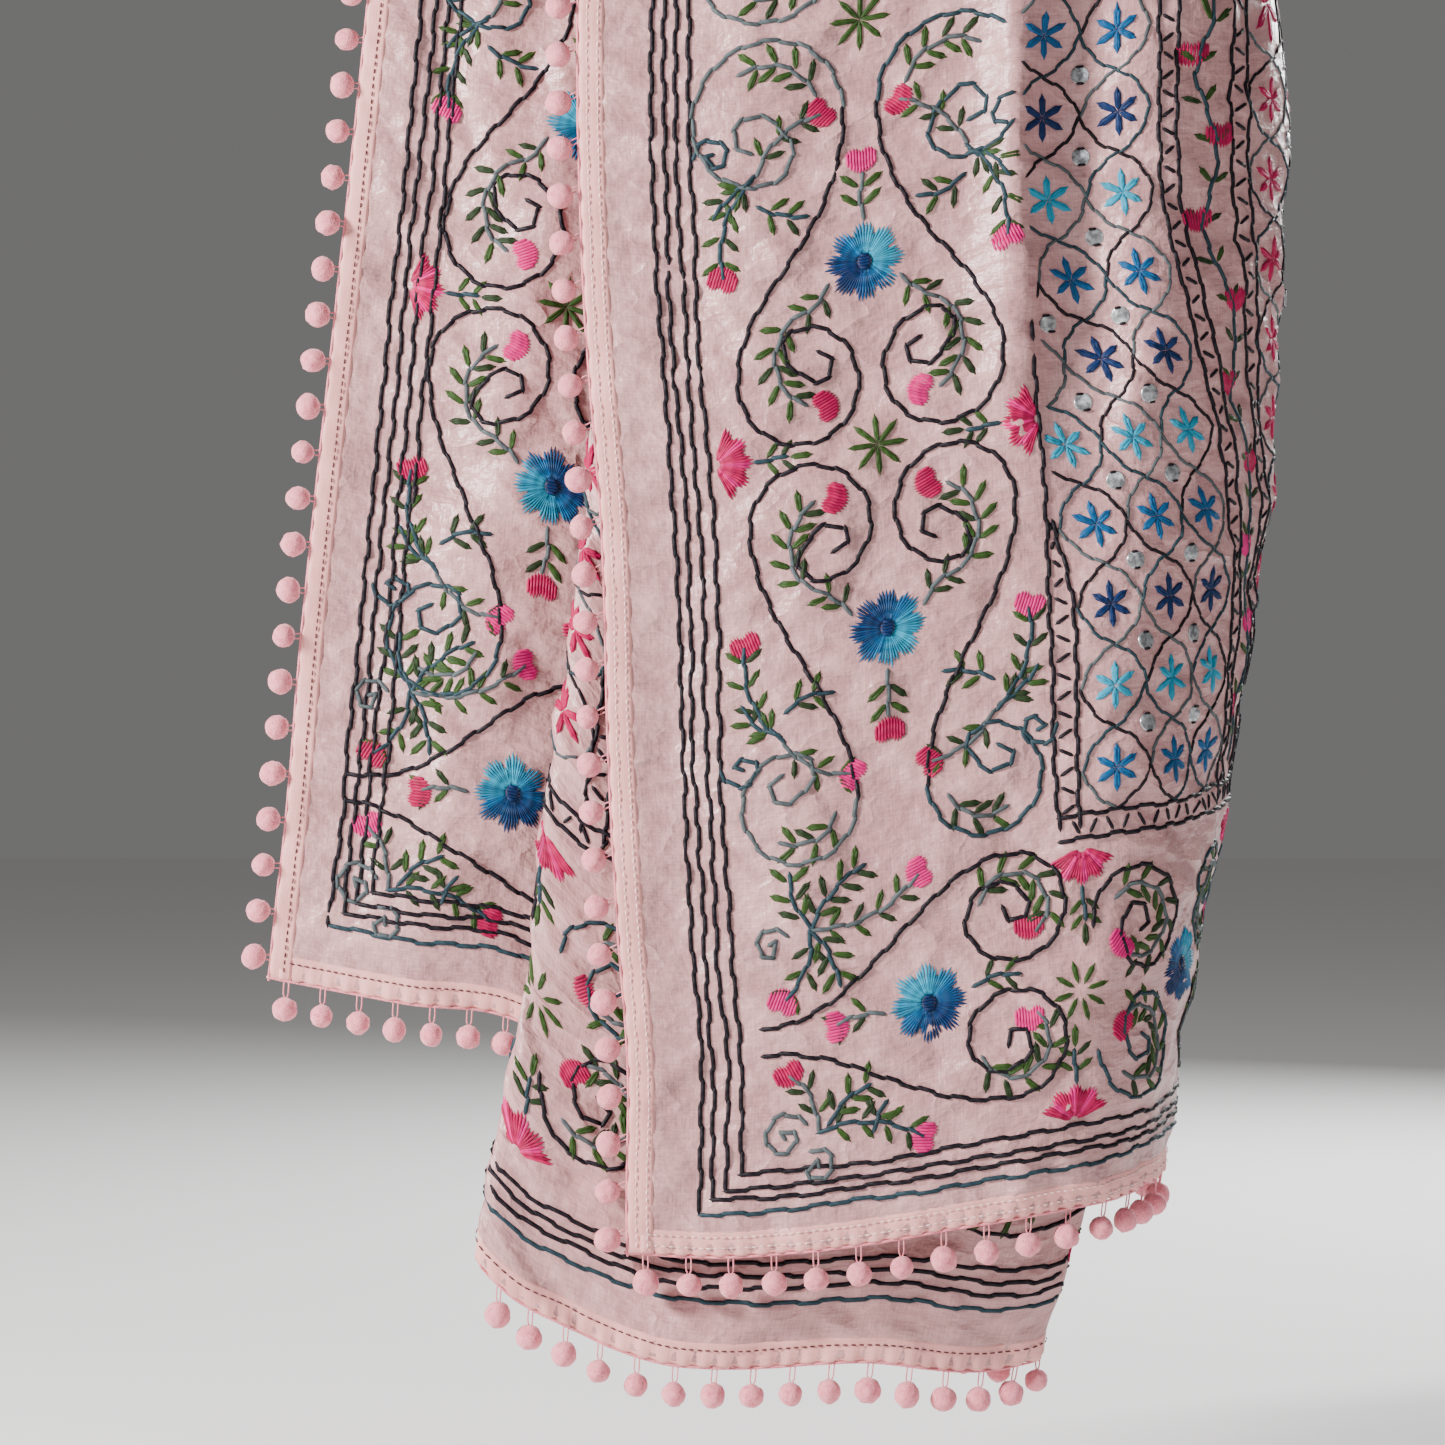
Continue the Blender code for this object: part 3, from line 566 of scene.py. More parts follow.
    def base(self) -> Array:
        """The grid of the surface without its finer relief, from the right hem to the left one."""
        across = self.columns
        right_top = self.fall_lengths(RIGHT_FALL_LENGTHS, across)
        left_top = self.fall_lengths(LEFT_FALL_LENGTHS, across)
        right = [self.right_point(across, right_top * n / self.right_rows) for n in range(self.right_rows)]
        left = [self.left_point(across, left_top * n / self.left_rows) for n in range(self.left_rows)]
        over = self.shoulders(across)
        points = np.concatenate([np.array(right), over, np.array(left[::-1])])
        normals = self.facing(points)
        margin = np.minimum(np.minimum(across, CLOTH_WIDTH - across) / GATHER_MARGIN, 1)
        wave = np.sin(2 * np.pi * GATHER_WAVES * across / CLOTH_WIDTH) * margin
        parts = np.linspace(0, 1, self.shoulder_rows + 1)
        heights = eased(GATHER_HEIGHTS, 1, parts)
        stretch = slice(self.right_rows, self.right_rows + self.shoulder_rows + 1)
        points[stretch] += normals[stretch] * (heights[:, None] * wave)[..., None]
        return points

    def facing(self, points: Array) -> Array:
        """Unit normals of the grid, which face outwards."""
        normals = np.cross(np.gradient(points, axis=1), np.gradient(points, axis=0))
        return normals / np.maximum(np.linalg.norm(normals, axis=2, keepdims=True), 1e-12)

    def flat_rows(self) -> Array:
        """The place along the cloth of every point of the grid."""
        rows = np.arange(self.right_rows + self.shoulder_rows + self.left_rows + 1)
        right = self.fall_lengths(RIGHT_FALL_LENGTHS, self.columns)
        left = CLOTH_LENGTH - self.fall_lengths(LEFT_FALL_LENGTHS, self.columns)
        knots = (0, self.right_rows, self.right_rows + self.shoulder_rows, rows[-1])
        ends = zip(right, left)
        return np.stack([np.interp(rows, knots, (0, a, b, CLOTH_LENGTH)) for a, b in ends], axis=1)

    def relief(self) -> Array:
        """Crumples, creases, the tuck's edge and the small gathers, as a lift of every grid point."""
        along = self.flat_rows()
        across = np.broadcast_to(self.columns, along.shape)
        from_edge = np.minimum(across, CLOTH_WIDTH - across)
        noise = {}
        for name, (own, skew, lean, cell_across, cell_along, seed) in NOISES.items():
            skewed = across * own + along * skew
            noise[name] = patches(skewed, along + across * lean, cell_across, cell_along, seed)
        lift = self.crumple * (noise["soft"] + self.slight_share * noise["slight"])
        lift += self.pucker * noise["fine"]
        lift += self.crease * ((1 - np.abs(noise["ridge"])) ** 5 - (1 - np.abs(noise["trough"])) ** 6)
        lift *= self.calm_share + (1 - self.calm_share) * smooth(from_edge / self.calm_margin)
        for stretch, place, up, length, width, height, turn in CREASES:
            run = along - up if stretch == "right" else CLOTH_LENGTH - up - along
            side = across - place
            ahead = (side * np.cos(turn) + run * np.sin(turn)) / length
            aside = (run * np.cos(turn) - side * np.sin(turn)) / width
            lift += height * np.exp(-(ahead**2)) * np.exp(-(aside**2))
        to_tuck = across - (TUCK_PLACE + TUCK_LEAN * along)
        before, past = np.exp(to_tuck / self.tuck_slope), np.exp(-((to_tuck / self.tuck_step) ** 2))
        lift += self.tuck_ridge * np.where(to_tuck < 0, before, past) * between(along, *TUCK_SHOWS)
        waves = np.sin(across * 2 * np.pi / self.gather_pitch + self.gather_sway * noise["gather"])
        margin = smooth(from_edge / self.gather_margin)
        lift += self.gather_height * between(along, *GATHERS_SHOW) * waves * margin
        return lift

    def read(self, across: Array, along: Array) -> tuple[Array, Array]:
        """Reads the surface between its grid's points.

        Args:
            across: Places across the cloth.
            along: Places along the cloth.

        Returns:
            The points and their unit normals.
        """
        across, along = np.asarray(across, float), np.asarray(along, float)
        right = self.fall_lengths(RIGHT_FALL_LENGTHS, across)
        left = CLOTH_LENGTH - self.fall_lengths(LEFT_FALL_LENGTHS, across)
        on_right = along / right * self.right_rows
        on_top = self.right_rows + (along - right) / (left - right) * self.shoulder_rows
        past = (along - left) / (CLOTH_LENGTH - left)
        on_left = self.right_rows + self.shoulder_rows + past * self.left_rows
        row = np.where(along < right, on_right, np.where(along < left, on_top, on_left))
        row = np.clip(row, 0, len(self.points) - 1.000001)
        i = row.astype(int)
        j = np.clip(np.searchsorted(self.columns, across, side="right") - 1, 0, len(self.columns) - 2)
        a = (row - i)[..., None]
        b = ((across - self.columns[j]) / (self.columns[j + 1] - self.columns[j]))[..., None]

        def blend(grid: Array) -> Array:
            """The grid read at the found cells."""
            low = grid[i, j] * (1 - b) + grid[i, j + 1] * b
            high = grid[i + 1, j] * (1 - b) + grid[i + 1, j + 1] * b
            return low * (1 - a) + high * a

        normals = blend(self.normals)
        return blend(self.points), normals / np.linalg.norm(normals, axis=-1, keepdims=True)

    def tucked(self, across: Array, along: Array) -> tuple[Array, Array]:
        """Where a place of the pattern comes to lie, when the tuck has swallowed its cloth.

        Args:
            across: The pattern's places across.
            along: The pattern's places along.

        Returns:
            The places across on the drape, and which side of the tuck each is on: -1 before it, 0
            inside it, where it doesn't show, 1 past it, and 2 where the tuck is shallow.
        """
        rise = smooth((along - TUCK_START) / (TUCK_FULL - TUCK_START))
        depth = TUCK_DEPTH * rise * smooth((TUCK_END - along) / (TUCK_END - TUCK_HOLD))
        place = TUCK_PLACE + TUCK_LEAN * np.minimum(along, TUCK_HOLD)
        part = np.clip((across - TUCK_NEAR) / (TUCK_FAR - TUCK_NEAR), 0, 1)
        shifted = np.where(across < place, across, np.maximum(across - depth * (1 - part), place))
        side = np.where(across < place, -1, np.where(across < place + depth, 0, 1))
        return shifted, np.where(depth < TUCK_SHALLOW, 2, side)


class Value:
    """One output socket of a look, on which arithmetic adds Math nodes."""

    def __init__(self, look: "Look", socket: bpy.types.NodeSocket) -> None:
        """Wraps an output socket of a look's node tree."""
        self.look = look
        self.socket = socket

    def math(self, operation: str, first: Number, second: Number = 0.0) -> "Value":
        """Adds a Math node of the given operation."""
        return self.look.node("ShaderNodeMath", {"operation": operation}, {0: first, 1: second})

    def __add__(self, other: Number) -> "Value":
        """This value plus another."""
        return self.math("ADD", self, other)

    def __radd__(self, other: float) -> "Value":
        """A number plus this value."""
        return self.math("ADD", other, self)

    def __sub__(self, other: Number) -> "Value":
        """This value less another."""
        return self.math("SUBTRACT", self, other)

    def __rsub__(self, other: float) -> "Value":
        """A number less this value."""
        return self.math("SUBTRACT", other, self)

    def __mul__(self, other: Number) -> "Value":
        """This value times another."""
        return self.math("MULTIPLY", self, other)

    def __rmul__(self, other: float) -> "Value":
        """A number times this value."""
        return self.math("MULTIPLY", other, self)

    def __pow__(self, exponent: float) -> "Value":
        """This value raised to a power."""
        return self.math("POWER", self, exponent)

    def sine(self) -> "Value":
        """The sine of this value."""
        return self.math("SINE", self)

    def absolute(self) -> "Value":
        """This value without its sign."""
        return self.math("ABSOLUTE", self)


class Look:
    """The node tree of one material."""

    def __init__(self, name: str, constants: dict[str, object]) -> None:
        """Starts a material.

        Args:
            name: The material's name.
            constants: Values of the shader's own sockets that are the same all over.
        """
        self.material = bpy.data.materials.new(name)
        self.material.use_nodes = True
        self.tree = self.material.node_tree
        self.shader = self.tree.nodes["Principled BSDF"]
        for socket, value in constants.items():
            self.shader.inputs[socket].default_value = value

    def node(self, kind: str, settings: dict[str, object], sockets: dict, output: int = 0) -> Value:
        """Adds a node.

        Args:
            kind: The node's type.
            settings: Its settings, which are set first.
            sockets: Values or links of its sockets, by name or number.
            output: The number of the output socket that is wanted.

        Returns:
            That output.
        """
        made = self.tree.nodes.new(kind)
        for name, value in settings.items():
            setattr(made, name, value)
        for key, value in sockets.items():
            if isinstance(value, Value):
                self.tree.links.new(value.socket, made.inputs[key])
            else:
                made.inputs[key].default_value = value
        return Value(self, made.outputs[output])

    def mix(self, factor: Number, low: Union[Colour, Value], high: Union[Colour, Value]) -> Value:
        """Blends two colours."""
        ends = [end if isinstance(end, Value) else (*end, 1.0) for end in (low, high)]
        return self.node("ShaderNodeMix", {"data_type": "RGBA"}, {0: factor, 6: ends[0], 7: ends[1]}, 2)

    def attribute(self, name: str, output: int) -> Value:
        """Reads a mesh attribute: 0 as a colour, 1 as a vector and 2 as a number."""
        return self.node("ShaderNodeAttribute", {"attribute_name": name}, {}, output)

    def place(self) -> Value:
        """Reads the place in the object's own space."""
        return self.node("ShaderNodeTexCoord", {}, {}, 3)

    def stretched(self, at: Value, scale: tuple[float, float, float]) -> Value:
        """Coordinates scaled by their own factor on each axis."""
        return self.node("ShaderNodeVectorMath", {"operation": "MULTIPLY"}, {0: at, 1: scale})

    def noise(self, at: Value, scale: float, detail: float = 3.0) -> Value:
        """Soft noise from 0 to 1."""
        return self.node("ShaderNodeTexNoise", {}, {"Vector": at, "Scale": scale, "Detail": detail})

    def feed(self, socket: str, value: Value) -> None:
        """Links a value to one of the shader's sockets."""
        self.tree.links.new(value.socket, self.shader.inputs[socket])

    def raise_surface(self, height: Value, depth: float) -> None:
        """Bumps the surface by a height from 0 to 1, times a depth in metres."""
        made = self.node("ShaderNodeBump", {}, {"Height": height, "Strength": 1.0, "Distance": depth})
        self.feed("Normal", made)


@dataclass(frozen=True)
class SlubSilk:
    """The shawl's cloth: a silky plain weave with uneven, slubbed threads, whose colour also carries painted
    shade in its crumples' troughs and painted highlight on their ridges and along its creases.
    """

    name: str = "slub_silk"
    light: Colour = (0.640, 0.345, 0.335)
    dark: Colour = (0.360, 0.165, 0.170)
    thread: float = 0.0011
    slub: float = 0.016
    depth: float = 0.00035
    crumple: float = 48.0
    crumple_depth: float = 0.0048
    crease: float = 17.0
    crease_depth: float = 0.0008
    crease_sharpness: float = 9.0
    mottle: float = 14.0
    roughness: float = 0.30

    def material(self) -> bpy.types.Material:
        """Builds the material from the cloth's own flat coordinates."""
        look = Look(self.name, {"Sheen Weight": 0.10, "Sheen Roughness": 0.35, "Specular IOR Level": 0.7})
        at = look.attribute("cut", 1)
        warp = look.noise(look.stretched(at, (1 / self.thread, 1 / self.slub, 1)), 1.0, 2.0)
        weft = look.noise(look.stretched(at, (1 / self.slub, 1 / self.thread, 1)), 1.0, 2.0)
        mottle = look.noise(at, self.mottle, 4.0)
        yarn = warp * 0.5 + weft * 0.5
        crumple = look.noise(look.stretched(at, (1.0, 1.35, 1.0)), self.crumple, 3.5)
        wander = look.noise(look.stretched(at, (1.0, 1.6, 1.0)), self.crease, 2.0)
        crease = (1 - (wander - 0.5).absolute() * 2) ** self.crease_sharpness
        # Painted light: the crumple noise also raises the bump. In the colour it darkens the troughs as
        # painted shade and lightens the ridges as painted highlight. The crease lines are painted lighter as
        # a painted highlight. The yarn and the mottle are the cloth's own uneven tone.
        shade = (yarn - 0.5) * 1.9 + (mottle - 0.5) * 0.8 + (crumple - 0.5) * 1.1
        shade = shade + crease * 0.10 + 0.45
        look.feed("Base Color", look.mix(shade, self.dark, self.light))
        look.feed("Roughness", self.roughness + (1 - yarn) * 0.22)
        relief = yarn * self.depth + crumple * self.crumple_depth + crease * self.crease_depth
        look.raise_surface(relief, 1.0)
        return look.material


@dataclass(frozen=True)
class RibbonSatin:
    """The edge tape: a paler ribbon with fine ribs across it."""

    name: str = "edge_ribbon"
    light: Colour = (0.900, 0.430, 0.400)
    dark: Colour = (0.720, 0.290, 0.275)
    rib: float = 0.0009
    depth: float = 0.00022

    def material(self) -> bpy.types.Material:
        """Builds the material from the tape's own flat coordinates."""
        look = Look(self.name, {"Sheen Weight": 0.10, "Sheen Roughness": 0.40})
        at = look.attribute("cut", 1)
        ribs = look.noise(look.stretched(at, (1 / self.rib, 80.0, 1)), 1.0, 1.0)
        grain = look.noise(look.stretched(at, (70.0, 1 / self.rib, 1)), 1.0, 1.0)
        mottle = look.noise(at, 40.0, 3.0)
        yarn = ribs * 0.4 + grain * 0.6
        look.feed("Base Color", look.mix((yarn - 0.5) * 1.3 + mottle * 0.6 + 0.2, self.dark, self.light))
        look.feed("Roughness", 0.48 + (1 - mottle) * 0.15)
        look.raise_surface(yarn, self.depth)
        return look.material


@dataclass(frozen=True)
class PompomFelt:
    """The pompoms: matte balls of cut wool."""

    name: str = "pompom_felt"
    light: Colour = (0.900, 0.300, 0.350)
    dark: Colour = (0.580, 0.110, 0.170)
    fuzz: float = 900.0
    roughness: float = 0.85
    depth: float = 0.0009

    def material(self) -> bpy.types.Material:
        """Builds the material from the place in space."""
        look = Look(self.name, {"Sheen Weight": 0.25, "Sheen Roughness": 0.6, "Specular IOR Level": 0.2})
        at = look.place()
        hairs = look.noise(at, self.fuzz, 3.0)
        tufts = look.noise(at, self.fuzz / 4, 2.0)
        look.feed("Base Color", look.mix((hairs + tufts - 0.72) * 1.5 + 0.3, self.dark, self.light))
        look.feed("Roughness", self.roughness + hairs * (1 - self.roughness))
        look.raise_surface(hairs * 0.5 + tufts * 0.5, self.depth)
        return look.material


@dataclass(frozen=True)
class TwistedFloss:
    """Embroidery floss: dyed by stitch, with the strands' twist along it, and pale patches on the twist's
    crests that are partly rubbing from use and partly painted highlight.
    """

    name: str = "embroidery_floss"
    wear_and_sheen_scale: float = 300.0
    wear_and_sheen_colour: Colour = (0.55, 0.50, 0.50)
    wear_and_sheen_share: float = 0.035
    depth: float = 0.00025

    def material(self) -> bpy.types.Material:
        """Builds the material from each stitch's dye and twist."""
        look = Look(self.name, {"Specular IOR Level": 0.18})
        twist = look.attribute("twist", 2).sine() * 0.5 + 0.5
        dye = look.attribute("dye", 0)
        wear_and_sheen_patches = look.noise(look.place(), self.wear_and_sheen_scale, 2.0)
        # Partly painted light: in the noise's patches the dye is blended towards a pale grey on the twist's
        # crests. The patches stand for rubbing from use, and their lying on the raised crests of the strands
        # is a painted highlight.
        paler = look.mix(self.wear_and_sheen_share, dye, self.wear_and_sheen_colour)
        look.feed("Base Color", look.mix(twist * wear_and_sheen_patches * 0.75, dye, paler))
        look.feed("Roughness", 0.44 + wear_and_sheen_patches * 0.22)
        look.raise_surface(twist, self.depth)
        return look.material


@dataclass(frozen=True)
class MirrorGlass:
    """The small round mirrors: silvered, with a dull rim and dark spots."""

    name: str = "mirror_discs"
    silver: Colour = (0.700, 0.720, 0.730)
    tarnish: Colour = (0.260, 0.270, 0.285)
    spots: float = 260.0
    depth: float = 0.0003

    def material(self) -> bpy.types.Material:
        """Builds the material from the place in space."""
        look = Look(self.name, {"Metallic": 0.65})
        at = look.place()
        spots = look.noise(at, self.spots, 4.0)
        look.feed("Base Color", look.mix((spots - 0.42) * 3.0, self.tarnish, self.silver))
        look.feed("Roughness", 0.14 + spots * 0.3)
        look.raise_surface(spots, self.depth)
        return look.material


def make_piece(
    name: str,
    vertices: Array,
    faces: Sequence,
    finish: bpy.types.Material,
    marks: dict[str, Array],
    normals: Union[Array, None] = None,
) -> bpy.types.Object:
    """Makes a smooth mesh object that rides on the shawl's only body.

    Args:
        name: The piece's name.
        vertices: Its points.
        faces: Lists of point numbers.
        finish: Its material.
        marks: Attributes of its points: one number, three or four for each point.
        normals: The points' own normals, where neighbours must shade alike.

    Returns:
        The object.
    """
    mesh = bpy.data.meshes.new(name)
    mesh.from_pydata(vertices.tolist(), [], faces if isinstance(faces, list) else faces.tolist())
    kinds = {1: ("FLOAT", "value"), 3: ("FLOAT_VECTOR", "vector"), 4: ("FLOAT_COLOR", "color")}
    for label, numbers in marks.items():
        kind, slot = kinds[1 if numbers.ndim == 1 else numbers.shape[1]]
        mark = mesh.attributes.new(label, kind, "POINT")
        mark.data.foreach_set(slot, numbers.astype(np.float32).ravel())
    mesh.materials.append(finish)
    mesh.shade_smooth()
    if normals is not None:
        mesh.normals_split_custom_set_from_vertices(normals.tolist())
    made = bpy.data.objects.new(name, mesh)
    bpy.context.scene.collection.objects.link(made)
    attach(made, BODY)
    LOG.info("%s: %d faces", name, len(mesh.polygons))
    return made


def grid_quads(rows: int, columns: int, closed: bool = False) -> Array:
    """Faces of a grid of points, whose columns may run round a tube."""
    i, j = np.meshgrid(np.arange(rows - 1), np.arange(columns if closed else columns - 1), indexing="ij")
    a, b = i * columns + j, i * columns + (j + 1) % columns
    return np.stack([a, b, b + columns, a + columns], axis=-1).reshape(-1, 4)


@dataclass
class Cloth:
    """The shawl's cloth in three stretches of thin shell, which share one surface."""

    drape: Drape
    finish: bpy.types.Material
    thickness: float = 0.0010
    hidden_edge: float = 0.006

    STRETCHES = (
        # name, the solids it stands for
        ("cloth_right_fall", ("cloth_right_fall_front", "cloth_right_fall_side")),
        ("cloth_shoulders", ("cloth_right_shoulder", "cloth_back", "cloth_left_shoulder")),
        ("cloth_left_fall", ("cloth_left_fall_inner", "cloth_left_fall_outer")),
    )

    def stretch(self, name: str, rows: range) -> bpy.types.Object:
        """Builds one stretch of the shell.

        Args:
            name: The piece's name.
            rows: The drape's rows that it spans.

        Returns:
            The piece.
        """
        along = self.drape.flat_rows()[rows.start : rows.stop]
        across = np.broadcast_to(self.drape.columns, along.shape)
        across = np.clip(across, self.hidden_edge, CLOTH_WIDTH - self.hidden_edge)
        along = np.clip(along, self.hidden_edge, CLOTH_LENGTH - self.hidden_edge)
        points, normals = self.drape.read(across[:, 1:-1], along[:, 1:-1])
        cut = np.stack([across[:, 1:-1], along[:, 1:-1], np.zeros_like(along[:, 1:-1])], axis=-1)
        half = normals * self.thickness / 2
        count, columns = points.shape[:2]
        skins = np.concatenate([(points + half).reshape(-1, 3), (points - half).reshape(-1, 3)])
        outer = grid_quads(count, columns)
        inner = outer[:, ::-1] + count * columns
        faces = np.concatenate([outer, inner, self.rim(count, columns)])
        both = np.concatenate([normals.reshape(-1, 3), -normals.reshape(-1, 3)])
        marks = {"cut": np.concatenate([cut.reshape(-1, 3)] * 2)}
        return make_piece(name, skins, faces, self.finish, marks, both)

    def rim(self, rows: int, columns: int) -> Array:
        """Faces that close the shell round its edge."""
        top = np.arange(columns)
        right = np.arange(1, rows) * columns + columns - 1
        bottom = (rows - 1) * columns + np.arange(columns - 2, -1, -1)
        left = np.arange(rows - 2, 0, -1) * columns
        loop = np.concatenate([top, right, bottom, left])
        after = np.roll(loop, -1)
        return np.stack([after, loop, loop + rows * columns, after + rows * columns], axis=-1)

    def build(self) -> list[bpy.types.Object]:
        """Builds the three stretches, and works out the width, lengths and areas that each was cut to,
        without using them.
        """
        drape = self.drape
        stops = np.cumsum([0, drape.right_rows, drape.shoulder_rows, drape.left_rows])
        width = CLOTH_WIDTH - 2 * self.hidden_edge
        lengths = (
            max(RIGHT_FALL_LENGTHS) - self.hidden_edge,
            CLOTH_LENGTH - min(RIGHT_FALL_LENGTHS) - min(LEFT_FALL_LENGTHS),
            max(LEFT_FALL_LENGTHS) - self.hidden_edge,
        )
        areas = (
            width * (sum(RIGHT_FALL_LENGTHS) / 2 - self.hidden_edge),
            width * (CLOTH_LENGTH - sum(RIGHT_FALL_LENGTHS) / 2 - sum(LEFT_FALL_LENGTHS) / 2),
            width * (sum(LEFT_FALL_LENGTHS) / 2 - self.hidden_edge),
        )
        made = []
        for n, (name, nodes) in enumerate(self.STRETCHES):
            piece = self.stretch(name, range(stops[n], stops[n + 1] + 1))
            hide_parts(*nodes)
            made.append(piece)
        return made


@dataclass(frozen=True)
class Edge:
    """One edge of the cloth: where its trims run, in the cloth's flat coordinates."""

    name: str
    start: float
    end: float
    side: str
    spacing: float
    shadow_painted_seam: bool
    gathered: bool

    def flat(self, run: Array, inwards: Array) -> tuple[Array, Array]:
        """Turns places along the edge and distances from it into flat coordinates.

        Args:
            run: Places along the edge.
            inwards: Distances from the edge.

        Returns:
            The places across and along the cloth.
        """
        if self.side == "neck":
            return inwards, run
        if self.side == "outer":
            return CLOTH_WIDTH - inwards, run
        if self.side == "right_end":
            return run, inwards
        return run, CLOTH_LENGTH - inwards


RIGHT_TOPS, LEFT_TOPS = RIGHT_FALL_LENGTHS, tuple(CLOTH_LENGTH - length for length in LEFT_FALL_LENGTHS)
PLY_SPLIT = 0.61
EDGES = (
    # name, start, end, side, pompom spacing, seam painted dark as shadow, gathered
    Edge("right_neck_edge", 0.0, RIGHT_TOPS[0], "neck", 0.0317, False, False),
    Edge("right_outer_edge", 0.0, RIGHT_TOPS[1], "outer", 0.0390, False, False),
    Edge("shoulders_neck_edge", RIGHT_TOPS[0], LEFT_TOPS[0], "neck", 0.0440, False, False),
    Edge("shoulders_outer_edge", RIGHT_TOPS[1], LEFT_TOPS[1], "outer", 0.0400, False, False),
    Edge("left_neck_edge", LEFT_TOPS[0], CLOTH_LENGTH, "neck", 0.0440, True, False),
    Edge("left_outer_edge", LEFT_TOPS[1], CLOTH_LENGTH, "outer", 0.0305, True, False),
    Edge("right_hem", 0.0, CLOTH_WIDTH, "right_end", 0.0290, False, True),
    Edge("left_inner_hem", 0.0, PLY_SPLIT, "left_end", 0.0262, True, True),
    Edge("left_outer_hem", PLY_SPLIT, CLOTH_WIDTH, "left_end", 0.0250, True, True),
)
TAPE_SEAMS = {
    # distances from the edge of the lines of stitches, by whether the seam's stitches are painted dark as
    # the shadow of their groove
    False: (0.0086, 0.0158),
    True: (0.0145,),
}


@dataclass
class Skein:
    """Stitches collected in flat coordinates, and then raised from the drape as one mesh."""

    drape: Drape
    rng: np.random.Generator
    threads: list[Array] = field(default_factory=list)
    turns: float = 900.0
    bury: float = 0.0006
    crown: float = 0.58
    shoulder: float = 0.55
    shoulder_height: float = 0.8

    def add(
        self,
        starts: Array,
        ends: Array,
        width: float,
        thread: Union[Thread, Array],
        lift: float = 0.0,
    ) -> None:
        """Adds stitches.

        Args:
            starts: Flat places where they come out of the cloth.
            ends: Flat places where they go in again.
            width: How wide they are.
            thread: Their skein, or a colour for each.
            lift: How far above the cloth they lie.
        """
        starts, ends = np.atleast_2d(starts), np.atleast_2d(ends)
        count = len(starts)
        colour = np.broadcast_to(thread.value if isinstance(thread, Thread) else thread, (count, 3))
        shade = self.rng.uniform(0.82, 1.18, (count, 1))
        sizes = np.stack([np.broadcast_to(width, count), np.full(count, lift)], axis=1)
        self.threads.append(np.concatenate([starts, ends, sizes, colour * shade], axis=1))

    def chords(
        self,
        curve: Array,
        thread: Thread,
        width: float = 0.0031,
        length: float = 0.0120,
        over: float = 0.0018,
    ) -> None:
        """Works a curve in long straight stitches whose ends pass each other.

        Args:
            curve: Its flat points.
            thread: The skein.
            width: How wide the stitches are.
            length: About how long each one is.
            over: How far each end runs past its neighbour.
        """
        steps = np.linalg.norm(np.diff(curve, axis=0), axis=1)
        run = np.concatenate([[0], np.cumsum(steps)])
        count = max(int(round(run[-1] / length)), 1)
        places = np.linspace(0, run[-1], count + 1)
        places[1:-1] += self.rng.uniform(-0.12, 0.12, count - 1) * run[-1] / count
        knots = np.stack([np.interp(places, run, curve[:, n]) for n in (0, 1)], axis=1)
        ways = np.diff(knots, axis=0)
        ways /= np.maximum(np.linalg.norm(ways, axis=1, keepdims=True), 1e-9)
        aside = np.stack([-ways[:, 1], ways[:, 0]], axis=1)
        shift = aside * (np.arange(count) % 2 - 0.5)[:, None] * width * 0.45
        self.add(knots[:-1] - ways * over + shift, knots[1:] + ways * over + shift, width, thread)

    def build(self, name: str, finish: bpy.types.Material, low: float, high: float) -> bpy.types.Object:
        """Raises the stitches of one stretch of the cloth.

        Args:
            name: The piece's name.
            finish: The floss.
            low: Where the stretch starts along the cloth.
            high: Where it ends.

        Returns:
            The piece.
        """
        all_threads = np.concatenate(self.threads)
        middle = (all_threads[:, 1] + all_threads[:, 3]) / 2
        threads = all_threads[(middle >= low) & (middle < high)]
        ends, sides = [], []
        for columns in ((0, 1), (2, 3)):
            place, side = self.drape.tucked(threads[:, columns[0]], threads[:, columns[1]])
            ends.append(np.stack([place, threads[:, columns[1]]], axis=1))
            sides.append(side)
        alike = (sides[0] == sides[1]) | (sides[0] == 2) | (sides[1] == 2)
        shown = alike & (sides[0] != 0) & (sides[1] != 0)
        start, end, threads = ends[0][shown], ends[1][shown], threads[shown]
        width, lift, colour = threads[:, 4], threads[:, 5], threads[:, 6:9]
        length = np.linalg.norm(end - start, axis=1)
        rings, twists = [], []
        for part, share in ((0.0, 0.0), (0.18, 1.0), (0.82, 1.0), (1.0, 0.0)):
            flat = start + (end - start) * part
            points, normals = self.drape.read(flat[:, 0], flat[:, 1])
            ahead = start + (end - start) * (part + 0.02)
            run = self.drape.read(ahead[:, 0], ahead[:, 1])[0] - points
            aside = np.cross(normals, run)
            aside /= np.maximum(np.linalg.norm(aside, axis=1, keepdims=True), 1e-12)
            base = points + normals * (lift + self.bury)[:, None]
            if share == 0:
                rings.append(base[:, None])
                twists.append((length * part * self.turns)[:, None])
                continue
            side = aside * (width / 2)[:, None]
            raised = base + normals * (width * self.crown)[:, None] * self.shoulder_height
            ring = [base - side, raised - side * self.shoulder, raised + side * self.shoulder, base + side]
            rings.append(np.stack(ring, axis=1))
            around = np.array((-1.6, -0.6, 0.6, 1.6))
            twists.append((length * part * self.turns)[:, None] + around)
        vertices = np.concatenate(rings, axis=1)
        twist = np.concatenate(twists, axis=1)
        count = len(vertices)
        each = vertices.shape[1]
